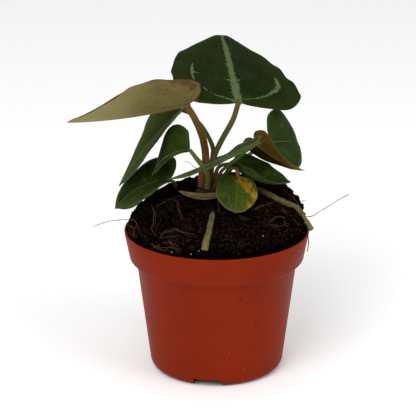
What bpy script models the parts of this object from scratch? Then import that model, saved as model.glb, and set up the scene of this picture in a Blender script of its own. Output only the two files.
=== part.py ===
"""A young silver-veined anthurium in a 12 cm nursery pot.

The named places are measured from the centre of the pot's foot, on the surface that it stands
on, with +Z up and -Y to the front. At the end the pot moves to (POT_X, POT_Y), so that the
origin is below the middle of the whole plant. Sizes are in millimetres and angles in degrees
until a mesh is made, in metres.
"""
import math
from dataclasses import dataclass

import bmesh
import bpy
import numpy as np

MM = 0.001
GAP = 0.3
POT_X, POT_Y = 4.6, -16.5

# Pot
POT_HEIGHT = 94.0
RIM_RADIUS = 60.0
BAND_HEIGHT = 18.7
BAND_FOOT_RADIUS = 56.7
BAND_CHAMFER = 3.3
BODY_TOP_RADIUS = 52.0
BODY_FOOT_RADIUS = 42.8
FOOT_CORNER = 6.9
FOOT_LIP = 3.0
WALL = 1.2
RIM_EDGE = 0.6
RIM_EDGE_INSET = 0.4
FLOOR_UNDERSIDE = 6.0
FLOOR_SLOPE = 3.0
NOTCH_WIDTH = 18.0
NOTCH_HEIGHT = 5.5
NOTCH_COUNT = 3
NOTCH_REACH = 16.0
NOTCH_BELOW = 4.0
FIRST_NOTCH_ANGLE = -98.5
DRAIN_COUNT = 6
DRAIN_RADIUS = 3.5
DRAIN_RING = 27.0
POT_SEGMENTS = 60

# Soil, heaped over the rim, steeper at the back right
SOIL_RADIUS = 58.3
HEAP_HEIGHT = 23.5
WALL_GAP = 0.39
SOIL_EDGE_DROP = 0.5
STEEP_SIDE_ANGLE = 35.0
SOIL_SEGMENTS = 48
SOIL_RINGS = 9

# Crown, the short trunk that the stems grow from
CROWN_X, CROWN_Y = -3.8, -0.8
CROWN_RADIUS = 9.5
CROWN_TOP = 122.5
CROWN_DEPTH = 16.0
CROWN_SEGMENTS = 20
SOCKET_TOP = 140.0

# Leaves, stems and roots
BLADE_THICKNESS = 0.5
BLADE_ROWS = 12
BLADE_COLUMNS = 3
TUBE_CORNERS = 12
STEM_TIP_RADIUS = 0.5
ROOT_CLEARANCE = 0.5

# The flat shape of half a heart leaf, as fractions of its half width and of its length.
# It starts at the stem, goes round the lobe behind it and ends at the tip.
HEART_LOBE = ((0.0, 0.0), (0.16, -0.60), (0.45, -1.0), (0.80, -0.55))
HEART_SIDE = ((1.0, 0.0), (0.90, 0.22))
HEART_END = ((0.62, 0.62), (0.28, 0.84), (0.08, 0.95), (0.0, 1.0))
END_NARROWING = (0.10, 0.25, 0.30, 0.0)

# The pink bud beside the crown's stems
BUD = (((3.7, -1.7, 123.6), (5.2, -2.2, 128.5), (6.5, -2.7, 133.0), (6.8, -2.8, 135.9)), 1.0, 1.2)

# The flat shape of half a bud sheath
LANCE = ((0.0, 0.0), (0.75, 0.02), (1.0, 0.30), (0.70, 0.70), (0.25, 0.93), (0.0, 1.0))


@dataclass
class Blade:
    """A leaf blade, from its stem at base to its tip.

    azimuth and rise aim the midrib at the base. droop and turn bend it down and round by the
    tip, and hook bends the last quarter further down. roll lifts the left half, and twist adds
    to roll by the tip. Each half leaves the midrib at its fold, and curls by curl at its edge.
    """
    base: tuple
    length: float
    azimuth: float
    rise: float
    droop: float = 0.0
    turn: float = 0.0
    hook: float = 0.0
    roll: float = 0.0
    twist: float = 0.0
    left: float = 20.0
    right: float = 20.0
    fold_left: float = 0.0
    fold_right: float = 0.0
    opening: float = 0.0
    curl_left: float = 0.0
    curl_right: float = 0.0
    lobe: float = 0.1
    widest: float = 0.2
    narrowing: float = 0.0


BLADES = {
    # The large upper leaf, held level and pointing to the back
    "leaf_01": Blade(base=(14.1, 6.0, 177.2), length=95, azimuth=101, rise=33, droop=32, turn=-7,
                     hook=60, roll=6.5, twist=-6, left=43.5, right=45.5, fold_left=-11,
                     fold_right=-17, opening=-17, curl_left=41, curl_right=25, lobe=0.01,
                     widest=0.13, narrowing=-0.2),
    # The newest leaf, still folded, pointing left
    "leaf_02": Blade(base=(-19.2, -21.0, 183.2), length=76, azimuth=188.5, rise=-12.5, droop=-13,
                     turn=-1.5, roll=6, twist=3.5, left=30, right=25, fold_left=40, fold_right=46,
                     opening=3, curl_left=22.5, curl_right=-14.5, lobe=0.14, widest=0.23,
                     narrowing=0.9),
    # The long leaf that hangs down at the left
    "leaf_03": Blade(base=(-23.7, 15.0, 169.6), length=65, azimuth=190, rise=-44, droop=14.5,
                     turn=-6.5, roll=-22, twist=17.5, left=25, right=25, fold_left=23.5,
                     fold_right=35.5, opening=-39.5, curl_left=40.5, curl_right=-57.5, lobe=0.09,
                     widest=0.31),
    # The small folded leaf at the left
    "leaf_04": Blade(base=(-17.2, -9.0, 150.1), length=36.5, azimuth=157, rise=-8.5, droop=58,
                     turn=-9, roll=-20.5, twist=15.5, left=15, right=17.5, fold_left=20,
                     fold_right=83.5, opening=-67.5, curl_left=23.5, curl_right=-21, lobe=0.03,
                     widest=0.16, narrowing=0.16),
    # The broad leaf over the left of the rim
    "leaf_05": Blade(base=(-30.2, 4.0, 126.0), length=43, azimuth=177.5, rise=-4.5, droop=51,
                     turn=-1.5, roll=-26, twist=-6.5, left=19, right=19.5, fold_left=37.5,
                     fold_right=56.5, opening=-52.5, curl_right=-70, lobe=0.09, widest=0.18,
                     narrowing=-2.0),
    # The narrow leaf that lies back across the stems
    "leaf_06": Blade(base=(23.6, -24.0, 159.2), length=56.5, azimuth=184, rise=-26, droop=-6.5,
                     turn=-1.5, twist=4.5, left=13, right=12.5, fold_left=-11, fold_right=-1.5,
                     opening=-18, curl_left=53, curl_right=4, lobe=0.09, widest=0.22),
    # The brown young leaf at the right, seen from below
    "leaf_07": Blade(base=(24.7, -3.0, 152.9), length=37.5, azimuth=-18.5, rise=-39, droop=-34,
                     turn=-11.5, roll=-60.5, twist=23.5, left=18, right=19, fold_left=12,
                     opening=-6.5, curl_left=5, curl_right=-7, lobe=0.15, widest=0.08),
    # The green leaf behind it
    "leaf_08": Blade(base=(34.8, 12.0, 148.9), length=34, azimuth=49.5, rise=-11, droop=6.5,
                     turn=12, roll=14, twist=-4.5, left=21.5, right=22.5, fold_left=74.5,
                     fold_right=-26, opening=4, curl_left=-24.5, curl_right=-5, lobe=0.12,
                     widest=0.2),
    # The half-rolled leaf low at the right
    "leaf_09": Blade(base=(9.7, -7.2, 139.6), length=42, azimuth=-16, rise=-41, droop=-60,
                     turn=-2.5, roll=1, twist=14.5, left=16, right=12, fold_left=48.5, fold_right=8,
                     opening=2, curl_left=-39, curl_right=99, lobe=0.0, widest=0.29,
                     narrowing=-2.0),
    # The round yellowing leaf whose tip is at the soil
    "leaf_10": Blade(base=(13.1, -19.1, 135.4), length=29, azimuth=-93.5, rise=-31, droop=3.5,
                     turn=-1.5, roll=-8, twist=-4, left=15.5, right=14.5, fold_left=-22,
                     fold_right=-15, opening=-9, curl_left=-3.5, curl_right=-20.5, lobe=0.08,
                     widest=0.27, narrowing=-2.4),
}

SHEATHS = {
    # The dry sheath that lies at the crown's foot
    "old_sheath": Blade(base=(0.0, -13.4, 119.8), length=25.5, azimuth=176, rise=-15, droop=-44,
                        left=3.0, right=3.0, fold_left=30, fold_right=30, curl_left=30,
                        curl_right=30),
    # The pink sheath on the tallest stem
    "new_sheath": Blade(base=(-3.6, -0.5, 137.0), length=11, azimuth=50, rise=82, left=1.6,
                        right=1.6, fold_left=-10, fold_right=-10, curl_left=-40, curl_right=-40),
}

# Stem centre lines from the crown to just short of the blade, with the radii at the foot and the top
STEMS = {
    "leaf_01": (((-3.4, 2.0, 123.6), (-3.7, 2.5, 131.6), (-1.5, 3.3, 142.2), (3.3, 4.3, 152.7),
                 (10.3, 4.7, 165.9), (13.6, 5.6, 176.2)), 2.1, 1.8),
    "leaf_02": (((-9.6, -2.0, 123.6), (-9.2, -3.0, 132.1), (-7.0, -6.0, 142.4), (-8.2, -10.0, 155.1),
                 (-10.7, -14.0, 165.0), (-14.5, -17.8, 174.8), (-18.6, -20.8, 182.3)), 2.8, 2.2),
    "leaf_03": (((-6.4, 5.4, 123.6), (-3.7, 7.0, 134.9), (-2.4, 9.5, 145.0), (-6.3, 12.0, 154.3),
                 (-10.8, 13.5, 160.6), (-16.6, 14.8, 167.0), (-22.4, 15.0, 169.4)), 1.4, 1.1),
    "leaf_04": (((-6.0, -6.3, 123.6), (-5.8, -7.5, 132.2), (-9.5, -9.5, 140.1), (-13.3, -10.0, 145.2),
                 (-16.6, -9.2, 149.4)), 2.2, 1.3),
    "leaf_05": (((-26.3, 13.0, 117.4), (-26.8, 11.0, 119.6), (-28.0, 7.9, 122.6),
                 (-29.6, 4.7, 125.2)), 1.4, 1.0),
    "leaf_06": (((-1.8, -7.0, 123.6), (2.6, -12.0, 136.3), (12.1, -19.0, 147.3), (18.9, -23.0, 154.2),
                 (22.5, -23.9, 156.9)), 1.2, 1.0),
    "leaf_07": (((2.2, 1.0, 123.6), (6.6, 0.8, 132.4), (13.6, 1.7, 142.4), (16.4, 0.0, 147.6),
                 (17.7, -3.0, 152.6), (19.2, -4.0, 155.3), (21.4, -3.9, 155.6),
                 (23.2, -3.4, 154.5)), 1.4, 1.3),
    "leaf_08": (((0.2, 4.5, 123.6), (8.6, 9.0, 130.9), (19.6, 13.0, 139.1), (29.3, 13.5, 145.1),
                 (34.0, 12.2, 148.4)), 1.4, 1.1),
    "leaf_09": (((-0.8, -2.5, 123.6), (-0.7, -3.5, 130.9), (0.4, -5.5, 136.3), (3.6, -7.2, 139.5),
                 (8.7, -7.4, 140.2)), 1.4, 1.1),
    "leaf_10": (((2.9, -4.4, 123.6), (4.6, -9.6, 130.5), (6.8, -12.2, 137.0), (9.8, -16.4, 140.7),
                 (12.5, -19.2, 140.3), (13.1, -19.2, 136.9)), 1.3, 1.1),
}

# Roots that lie on the soil: places from above, the radii, and the last stretch past the rim
ROOTS = {
    "front_root": (((-2.4, -34.5), (-3.8, -43.0), (-5.2, -50.0), (-6.7, -54.5), (-7.9, -57.6)),
                   1.7, 2.0, ()),
    "side_root": (((26.0, 2.7), (32.9, -7.4), (42.3, -15.8), (50.8, -14.5)), 2.0, 1.8,
                  ((55.8, -12.6, 105.3), (58.9, -11.6, 100.8), (61.0, -11.0, 97.0))),
    "thin_root_left": (((-50.0, -24.0), (-53.0, -12.0)), 0.5, 0.5,
                       ((-59.0, -9.0, 103.0), (-70.0, -10.0, 102.0), (-80.0, -11.0, 99.0))),
    "thin_root_right": (((45.0, 2.0), (51.0, -3.0)), 0.5, 0.5,
                        ((58.0, -6.0, 104.0), (70.0, -10.0, 111.5), (84.5, -14.0, 122.0))),
}

COLOURS = {
    "pot": ((0.255, 0.026, 0.012), 0.45),
    "soil": ((0.012, 0.007, 0.004), 0.95),
    "crown": ((0.11, 0.07, 0.04), 0.80),
    "blade_green": ((0.020, 0.035, 0.010), 0.55),
    "blade_young": ((0.22, 0.18, 0.07), 0.55),
    "blade_yellow": ((0.12, 0.12, 0.02), 0.55),
    "stem_green": ((0.08, 0.13, 0.02), 0.45),
    "stem_brown": ((0.12, 0.06, 0.02), 0.45),
    "sheath": ((0.35, 0.28, 0.13), 0.70),
    "bud": ((0.45, 0.12, 0.08), 0.50),
    "root": ((0.12, 0.10, 0.04), 0.80),
}
YOUNG_BLADES = ("leaf_02", "leaf_07")
YELLOW_BLADES = ("leaf_10",)
BROWN_STEMS = ("leaf_02", "leaf_07", "leaf_09")


def clear_scene():
    for old in list(bpy.data.objects):
        bpy.data.objects.remove(old, do_unlink=True)


def material(name):
    """The Principled material of a finish, made once."""
    found = bpy.data.materials.get(name)
    if found:
        return found
    colour, roughness = COLOURS[name]
    made = bpy.data.materials.new(name)
    made.use_nodes = True
    shader = made.node_tree.nodes["Principled BSDF"]
    shader.inputs["Base Color"].default_value = (*colour, 1.0)
    shader.inputs["Roughness"].default_value = roughness
    shader.inputs["Metallic"].default_value = 0.0
    made.diffuse_color = (*colour, 1.0)
    return made


def add_object(name, data, finish):
    item = bpy.data.objects.new(name, data)
    bpy.context.scene.collection.objects.link(item)
    data.materials.append(material(finish))
    return item


def smooth_path(points, count):
    """Points along the Catmull-Rom curve through the given points."""
    p = np.asarray(points, float)
    p = np.vstack([2 * p[0] - p[1], p, 2 * p[-1] - p[-2]])
    spans = len(p) - 3
    t = np.linspace(0, spans, count)
    i = np.minimum(t.astype(int), spans - 1)
    f = (t - i)[:, None]
    a, b, c, d = p[i], p[i + 1], p[i + 2], p[i + 3]
    squared = 2 * a - 5 * b + 4 * c - d
    cubed = 3 * b - a - 3 * c + d
    return 0.5 * (2 * b + (c - a) * f + squared * f ** 2 + cubed * f ** 3)


def lathe(name, profile, segments, finish, centre=(0.0, 0.0)):
    """A turned solid from an outline of (radius, height) that ends on the axis at both ends."""
    form = bmesh.new()
    corners = [form.verts.new((r * MM, 0, z * MM)) for r, z in profile]
    edges = [form.edges.new(pair) for pair in zip(corners, corners[1:])]
    bmesh.ops.spin(form, geom=corners + edges, cent=(0, 0, 0), axis=(0, 0, 1), angle=math.tau,
                   steps=segments, use_merge=True)
    bmesh.ops.remove_doubles(form, verts=form.verts, dist=1e-6)
    bmesh.ops.recalc_face_normals(form, faces=form.faces)
    mesh = bpy.data.meshes.new(name)
    form.to_mesh(mesh)
    form.free()
    mesh.shade_smooth()
    mesh.set_sharp_from_angle(angle=math.radians(35))
    item = add_object(name, mesh, finish)
    item.location = (centre[0] * MM, centre[1] * MM, 0)
    return item


def cut(item, cutter):
    """Take cutter's shape away from item."""
    cutter.hide_render = True
    cutter.display_type = "WIRE"
    boolean = item.modifiers.new(f"cut_{cutter.name}", "BOOLEAN")
    boolean.operation = "DIFFERENCE"
    boolean.object = cutter


def body_radius(z):
    """The pot's outer radius at height z, between the foot's corner and the band."""
    top = POT_HEIGHT - BAND_HEIGHT - BAND_CHAMFER
    return BODY_FOOT_RADIUS + (BODY_TOP_RADIUS - BODY_FOOT_RADIUS) * z / top


def body_slope():
    """How far the body's side leans out from upright."""
    return math.atan2(BODY_TOP_RADIUS - BODY_FOOT_RADIUS, POT_HEIGHT - BAND_HEIGHT - BAND_CHAMFER)


def pot_outer_profile():
    """The outside from the foot's contact ring up to the rim."""
    slope = body_slope()
    centre = corner_centre()
    steps = 6
    corner = []
    for k in range(steps + 1):
        angle = -math.pi / 2 + (math.pi / 2 - slope) * k / steps
        corner.append((centre + FOOT_CORNER * math.cos(angle), FOOT_CORNER * (1 + math.sin(angle))))
    band_bottom = POT_HEIGHT - BAND_HEIGHT
    return corner + [(BODY_TOP_RADIUS, band_bottom - BAND_CHAMFER), (BAND_FOOT_RADIUS, band_bottom),
                     (RIM_RADIUS, POT_HEIGHT - RIM_EDGE), (RIM_RADIUS - RIM_EDGE_INSET, POT_HEIGHT)]


def corner_centre():
    """Radius of the centre of the foot's round corner, which meets the leaning side smoothly."""
    return body_radius(FOOT_CORNER) - FOOT_CORNER / math.cos(body_slope())


def pot_inner_profile():
    """The inside from the rim down to the floor's edge."""
    band_bottom = POT_HEIGHT - BAND_HEIGHT
    floor = FLOOR_UNDERSIDE + WALL
    shift = 0.5
    corner = floor + FLOOR_SLOPE
    return [(RIM_RADIUS - WALL, POT_HEIGHT), (BAND_FOOT_RADIUS - WALL, band_bottom + shift),
            (BODY_TOP_RADIUS - WALL, band_bottom - BAND_CHAMFER + shift),
            (body_radius(corner) - WALL, corner), (body_radius(floor) - WALL - FLOOR_SLOPE, floor)]


def build_pot():
    """The thin pot, with its drained floor raised inside a notched foot."""
    centre = corner_centre()
    skirt = FOOT_CORNER - WALL
    start = math.asin((FLOOR_UNDERSIDE - FOOT_CORNER) / skirt)
    steps = 4
    underside = [(0, FLOOR_UNDERSIDE)]
    for k in range(steps + 1):
        angle = start + (-math.pi / 2 - start) * k / steps
        underside.append((centre + skirt * math.cos(angle), FOOT_CORNER + skirt * math.sin(angle)))
    lip = [(centre - FOOT_LIP, WALL), (centre - FOOT_LIP, 0)]
    inside = pot_inner_profile() + [(0, FLOOR_UNDERSIDE + WALL)]
    pot = lathe("pot", underside + lip + pot_outer_profile() + inside, POT_SEGMENTS, "pot")
    for k in range(NOTCH_COUNT):
        cut(pot, notch_cutter(k))
    for k in range(DRAIN_COUNT):
        cut(pot, drain_cutter(k))
    return pot


def notch_cutter(k):
    angle = math.radians(FIRST_NOTCH_ANGLE + 360 * k / NOTCH_COUNT)
    size = (NOTCH_REACH * MM, NOTCH_WIDTH * MM, (NOTCH_HEIGHT + NOTCH_BELOW) * MM)
    form = bmesh.new()
    bmesh.ops.create_cube(form, size=1)
    bmesh.ops.scale(form, verts=form.verts, vec=size)
    mesh = bpy.data.meshes.new(f"notch_{k}")
    form.to_mesh(mesh)
    form.free()
    cutter = bpy.data.objects.new(mesh.name, mesh)
    bpy.context.scene.collection.objects.link(cutter)
    radius = corner_centre() - FOOT_LIP - 1.0 + NOTCH_REACH / 2
    height = (NOTCH_HEIGHT - NOTCH_BELOW) / 2
    cutter.location = (radius * math.cos(angle) * MM, radius * math.sin(angle) * MM, height * MM)
    cutter.rotation_euler = (0, 0, angle)
    return cutter


def drain_cutter(k):
    angle = math.tau * (k + 0.5) / DRAIN_COUNT
    x, y = DRAIN_RING * math.cos(angle), DRAIN_RING * math.sin(angle)
    profile = [(0, FLOOR_UNDERSIDE - 2), (DRAIN_RADIUS, FLOOR_UNDERSIDE - 2),
               (DRAIN_RADIUS, FLOOR_UNDERSIDE + WALL + 2), (0, FLOOR_UNDERSIDE + WALL + 2)]
    return lathe(f"drain_{k}", profile, 16, "pot", (x, y))


def soil_height(x, y):
    """Height of the heaped soil's surface above the point (x, y)."""
    reach = min(math.hypot(x, y) / SOIL_RADIUS, 1.0)
    facing = 0.5 + 0.5 * math.cos(math.atan2(y, x) - math.radians(STEEP_SIDE_ANGLE))
    steepness = 3.0 + 7.0 * facing ** 2
    return POT_HEIGHT + HEAP_HEIGHT * (1 - reach ** steepness) ** 0.7


def soil_levelness(x, y):
    """Cosine of the surface's slope at (x, y): 1 where it is level."""
    step = 1.0
    rise_x = (soil_height(x + step, y) - soil_height(x - step, y)) / (2 * step)
    rise_y = (soil_height(x, y + step) - soil_height(x, y - step)) / (2 * step)
    return 1 / math.sqrt(1 + rise_x ** 2 + rise_y ** 2)


def build_soil():
    """The soil: it fills the pot, stands above the rim, and has a socket for the crown."""
    form = bmesh.new()
    inner = [(r - WALL_GAP, z) for r, z in pot_inner_profile()]
    inner[0] = (inner[0][0], POT_HEIGHT - SOIL_EDGE_DROP)
    inner[-2:] = [(r, z + GAP) for r, z in inner[-2:]]
    loops = []
    for ring in range(1, SOIL_RINGS + 1):
        share = math.sin(math.pi / 2 * ring / SOIL_RINGS)
        loops.append([(SOIL_RADIUS * share, None)] * SOIL_SEGMENTS)
    loops += [[point] * SOIL_SEGMENTS for point in inner]
    rings = []
    for loop in loops:
        corners = []
        for k, (radius, z) in enumerate(loop):
            angle = math.tau * k / SOIL_SEGMENTS
            x, y = radius * math.cos(angle), radius * math.sin(angle)
            corners.append(form.verts.new((x * MM, y * MM, (soil_height(x, y) if z is None else z) * MM)))
        rings.append(corners)
    top = form.verts.new((0, 0, soil_height(0, 0) * MM))
    bottom = form.verts.new((0, 0, inner[-1][1] * MM))
    for k in range(SOIL_SEGMENTS):
        after = (k + 1) % SOIL_SEGMENTS
        form.faces.new((top, rings[0][k], rings[0][after]))
        form.faces.new((bottom, rings[-1][after], rings[-1][k]))
        for upper, lower in zip(rings, rings[1:]):
            form.faces.new((upper[k], lower[k], lower[after], upper[after]))
    bmesh.ops.recalc_face_normals(form, faces=form.faces)
    mesh = bpy.data.meshes.new("soil")
    form.to_mesh(mesh)
    form.free()
    mesh.shade_smooth()
    soil = add_object("soil", mesh, "soil")
    foot = CROWN_TOP - CROWN_DEPTH - GAP
    radius = CROWN_RADIUS + GAP
    profile = [(0, foot), (radius, foot), (radius, SOCKET_TOP), (0, SOCKET_TOP)]
    socket = lathe("crown_socket", profile, CROWN_SEGMENTS, "soil", (CROWN_X, CROWN_Y))
    cut(soil, socket)
    return soil


def build_crown():
    foot = CROWN_TOP - CROWN_DEPTH
    r = CROWN_RADIUS
    profile = [(0, foot), (r * 0.6, foot), (r * 0.93, foot + 3), (r * 0.98, foot + 7), (r * 0.88, foot + 10),
               (r * 0.99, foot + 13), (r * 0.97, CROWN_TOP - 1), (r * 0.90, CROWN_TOP), (0, CROWN_TOP)]
    return lathe("crown", profile, CROWN_SEGMENTS, "crown", (CROWN_X, CROWN_Y))


def heart_outline(blade, half_width):
    """Control points of half a heart leaf, in millimetres across and along the blade."""
    points = [(a * half_width, s * blade.lobe * blade.length) for a, s in HEART_LOBE]
    points += [(a * half_width, (s + blade.widest) * blade.length) for a, s in HEART_SIDE]
    for (a, s), narrow in zip(HEART_END, END_NARROWING):
        points.append((a * half_width * (1 - narrow * blade.narrowing), s * blade.length))
    return points


def lance_outline(blade, half_width):
    return [(a * half_width, s * blade.length) for a, s in LANCE]


def midrib_frames(blade, along):
    """Place, left direction and up direction of the midrib at each distance along it."""
    first, last = min(along.min(), 0.0), max(along.max(), blade.length)
    steps = np.union1d(np.linspace(first, 0, 9), np.linspace(0, last, 64))

    def angles(s):
        t = s / blade.length
        hook = blade.hook * np.clip((t - 0.75) / 0.25, 0, 1) ** 2
        return np.radians(blade.rise - blade.droop * t - hook), np.radians(blade.azimuth + blade.turn * t)

    def ahead(s):
        up, round_ = angles(s)
        return np.stack([np.cos(up) * np.cos(round_), np.cos(up) * np.sin(round_), np.sin(up)], -1)

    tangents = ahead(steps)
    moves = (tangents[1:] + tangents[:-1]) / 2 * np.diff(steps)[:, None]
    path = np.vstack([np.zeros(3), np.cumsum(moves, 0)])
    path -= [np.interp(0, steps, path[:, k]) for k in range(3)]
    place = np.stack([np.interp(along, steps, path[:, k]) for k in range(3)], -1)
    place = place + np.asarray(blade.base)
    up, round_ = angles(along)
    normal = np.stack([-np.sin(up) * np.cos(round_), -np.sin(up) * np.sin(round_), np.cos(up)], -1)
    left = np.cross(normal, ahead(along))
    roll = np.radians(blade.roll + blade.twist * np.clip(along / blade.length, 0, 1))[..., None]
    rolled_left = left * np.cos(roll) + normal * np.sin(roll)
    rolled_normal = normal * np.cos(roll) - left * np.sin(roll)
    return place, rolled_left, rolled_normal


def bend(blade, side, across, along):
    """Points in space for flat points of one half; side is 1 on the left and -1 on the right."""
    if side > 0:
        half_width, fold, curl = blade.left, blade.fold_left, blade.curl_left
    else:
        half_width, fold, curl = blade.right, blade.fold_right, blade.curl_right
    least_curl = 0.1
    if abs(curl) < least_curl:
        curl = least_curl
    place, left, normal = midrib_frames(blade, along)
    fold = np.radians(fold + blade.opening * np.clip(along / blade.length, 0, 1))
    rate = np.radians(curl) / half_width
    outward = (np.sin(fold + rate * across) - np.sin(fold)) / rate
    upward = (np.cos(fold) - np.cos(fold + rate * across)) / rate
    return place + side * outward[..., None] * left + upward[..., None] * normal


def half_points(blade, side, rows, columns, outline):
    """The grid of one half's points, from the stem to the tip and from the midrib to the edge."""
    edge = smooth_path(outline(blade, blade.left if side > 0 else blade.right), rows)
    start = np.stack([np.zeros(rows), blade.length * np.linspace(0, 1, rows) ** 1.3], -1)
    share = np.linspace(0, 1, columns + 1)[None, :, None]
    flat = start[:, None] * (1 - share) + edge[:, None] * share
    return bend(blade, side, flat[..., 0], flat[..., 1])


def build_blade(name, blade, finish, outline=heart_outline, rows=BLADE_ROWS,
                columns=BLADE_COLUMNS):
    """A thin blade: two halves that share the midrib, given a thickness."""
    form = bmesh.new()
    halves = {side: half_points(blade, side, rows, columns, outline) * MM for side in (1, -1)}
    base = form.verts.new(halves[1][0, 0])
    tip = form.verts.new(halves[1][-1, 0])
    midrib = [form.verts.new(halves[1][i, 0]) for i in range(1, rows - 1)]
    for side, grid in halves.items():
        lines = [[midrib[i - 1]] + [form.verts.new(grid[i, j]) for j in range(1, columns + 1)]
                 for i in range(1, rows - 1)]
        faces = []
        for j in range(columns):
            faces.append((base, lines[0][j], lines[0][j + 1]))
            faces.append((tip, lines[-1][j + 1], lines[-1][j]))
            for line, after in zip(lines, lines[1:]):
                faces.append((line[j], after[j], after[j + 1], line[j + 1]))
        for corners in faces:
            form.faces.new(corners if side < 0 else corners[::-1])
    mesh = bpy.data.meshes.new(name)
    form.to_mesh(mesh)
    form.free()
    mesh.shade_smooth()
    item = add_object(name, mesh, finish)
    solidify = item.modifiers.new("thickness", "SOLIDIFY")
    solidify.thickness = BLADE_THICKNESS * MM
    solidify.offset = 0
    return item


def build_tube(name, points, foot_radius, top_radius, finish, tip_radius=None):
    """A round stem or root along a smooth curve, thinning from its foot to its top."""
    count = 3 * len(points)
    path = smooth_path(points, count)
    curve = bpy.data.curves.new(name, "CURVE")
    curve.dimensions = "3D"
    curve.bevel_depth = MM
    curve.bevel_resolution = TUBE_CORNERS // 4 - 1
    curve.use_fill_caps = True
    spline = curve.splines.new("POLY")
    spline.points.add(count - 1)
    for k, (point, place) in enumerate(zip(spline.points, path)):
        share = k / (count - 1)
        point.co = (*(place * MM), 1)
        point.radius = foot_radius + (top_radius - foot_radius) * min(1.0, share * 1.3)
    if tip_radius:
        spline.points[-1].radius = tip_radius
    return add_object(name, curve, finish)


def build_leaves():
    for name, blade in BLADES.items():
        finish = "blade_green"
        if name in YOUNG_BLADES:
            finish = "blade_young"
        if name in YELLOW_BLADES:
            finish = "blade_yellow"
        build_blade(f"{name}_blade", blade, finish)
        points, foot_radius, top_radius = STEMS[name]
        finish = "stem_brown" if name in BROWN_STEMS else "stem_green"
        build_tube(f"{name}_stem", points, foot_radius, top_radius, finish, STEM_TIP_RADIUS)


def build_sheaths():
    for name, blade in SHEATHS.items():
        build_blade(name, blade, "sheath", lance_outline, rows=8, columns=2)
    points, foot_radius, top_radius = BUD
    build_tube("bud", points, foot_radius, top_radius, "bud", STEM_TIP_RADIUS)


def build_roots():
    for name, (places, foot_radius, top_radius, beyond) in ROOTS.items():
        lift = max(foot_radius, top_radius) + ROOT_CLEARANCE
        points = [(x, y, soil_height(x, y) + lift / soil_levelness(x, y)) for x, y in places]
        build_tube(name, points + list(beyond), foot_radius, top_radius, "root")


def stand_over_origin():
    """Move everything, so that the middle of the whole plant is over the origin."""
    for item in bpy.data.objects:
        item.location.x += POT_X * MM
        item.location.y += POT_Y * MM


def main():
    clear_scene()
    build_pot()
    build_soil()
    build_crown()
    build_leaves()
    build_sheaths()
    build_roots()
    stand_over_origin()


main()
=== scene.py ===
"""The looks of a young silver-veined anthurium in a nursery pot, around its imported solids.

Shapes are given in millimetres from the centre of the pot's foot, with +Z up and -Y to the
front. finished_mesh() sets them down at (POT_X, POT_Y), in metres, where the solids are.
"""
import math
from dataclasses import dataclass

import bmesh
import bpy
import numpy as np
from mathutils import Matrix, Vector, noise


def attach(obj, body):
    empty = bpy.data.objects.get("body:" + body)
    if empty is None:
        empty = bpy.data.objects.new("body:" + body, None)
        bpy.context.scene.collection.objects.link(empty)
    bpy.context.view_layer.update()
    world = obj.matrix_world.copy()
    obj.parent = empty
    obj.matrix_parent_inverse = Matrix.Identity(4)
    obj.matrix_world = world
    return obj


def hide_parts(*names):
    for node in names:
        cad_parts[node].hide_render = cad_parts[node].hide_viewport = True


MM = 0.001
WELD_DISTANCE = 1e-6
POT_X, POT_Y = 4.6, -16.5
# Keeps the thin roots' wandering the same in each run: noise_vector() starts from the clock
NOISE_SEED = 1

# The camera, as it was fitted to the rim and the foot of the pot
VIEW_TILT = 19.09
VIEW_DISTANCE = 1429.0
VIEW_AIM = (-5.67, 0.0, 107.9)
VIEW_LENS = 190.9
VIEW_SENSOR = 36.0

# The studio, in metres and watts: each light's place, size and power
FLOOR_CORNERS = ((-4, -4, 0), (4, -4, 0), (4, 6, 0), (-4, 6, 0))
FLOOR_SHADE = 0.97
BACKDROP_STRENGTH = 0.72
LIGHTS = {
    "key_panel": ((-0.6, -1.4, 1.6), 1.2, 26.0),
    "side_panel": ((1.2, -0.9, 1.2), 1.0, 8.0),
}
LIGHTS_AIM = (0, 0, 0.1)

# Pot
POT_HEIGHT = 94.0
RIM_RADIUS = 60.0
BAND_HEIGHT = 18.7
BAND_FOOT_RADIUS = 56.7
BAND_CHAMFER = 3.3
BAND_BOTTOM = POT_HEIGHT - BAND_HEIGHT
BODY_HEIGHT = BAND_BOTTOM - BAND_CHAMFER
BODY_TOP_RADIUS = 52.0
BODY_FOOT_RADIUS = 42.8
FOOT_CORNER = 6.9
# The corner's centre lies this many of its radii inside the body's side, which slants
FOOT_TUCK = 1.006
FOOT_LIP = 3.0
WALL = 1.2
RIM_ROUNDING = 0.6
FLOOR_UNDERSIDE = 6.0
POT_FLOOR = FLOOR_UNDERSIDE + WALL
FLOOR_BEVEL = 3.0
NOTCH_WIDTH = 18.0
NOTCH_HEIGHT = 5.5
NOTCH_CORNER = 1.5
NOTCH_ANGLES = (-98.5, 21.5, 141.5)
DRAIN_COUNT = 6
DRAIN_RADIUS = 3.5
DRAIN_RING = 27.0
POT_SEGMENTS = 180
POT_SHARP_ANGLE = 35
# Small dark scuffs on the pot's front: place and radius
POT_MARKS = (
    ((14.6, -48.9, 64.6), 0.8), ((15.3, -48.6, 63.6), 0.8),
    ((25.1, -41.5, 45.8), 0.9), ((24.4, -41.8, 44.0), 0.9),
)

# Soil
SOIL_RADIUS = 58.3
HEAP_HEIGHT = 23.5
STEEP_SIDE_ANGLE = 35.0
# The heap's profile: its power on the gentle side, what the steep side adds, and its rounding
GENTLE_POWER, ADDED_POWER, HEAP_ROUNDING = 3.0, 7.0, 0.7
# Lumps of the surface, as (height, size), how far they sink it, and where they fade out
SOIL_LUMPS = ((1.5, 6.0), (0.9, 2.4))
SOIL_SINK = 0.6
LUMP_FADE = 4.0
SOIL_RINGS, SOIL_SEGMENTS = 80, 220
SOIL_CLEARANCE = 0.39
SOIL_FOOT = POT_FLOOR + 0.4
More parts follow.
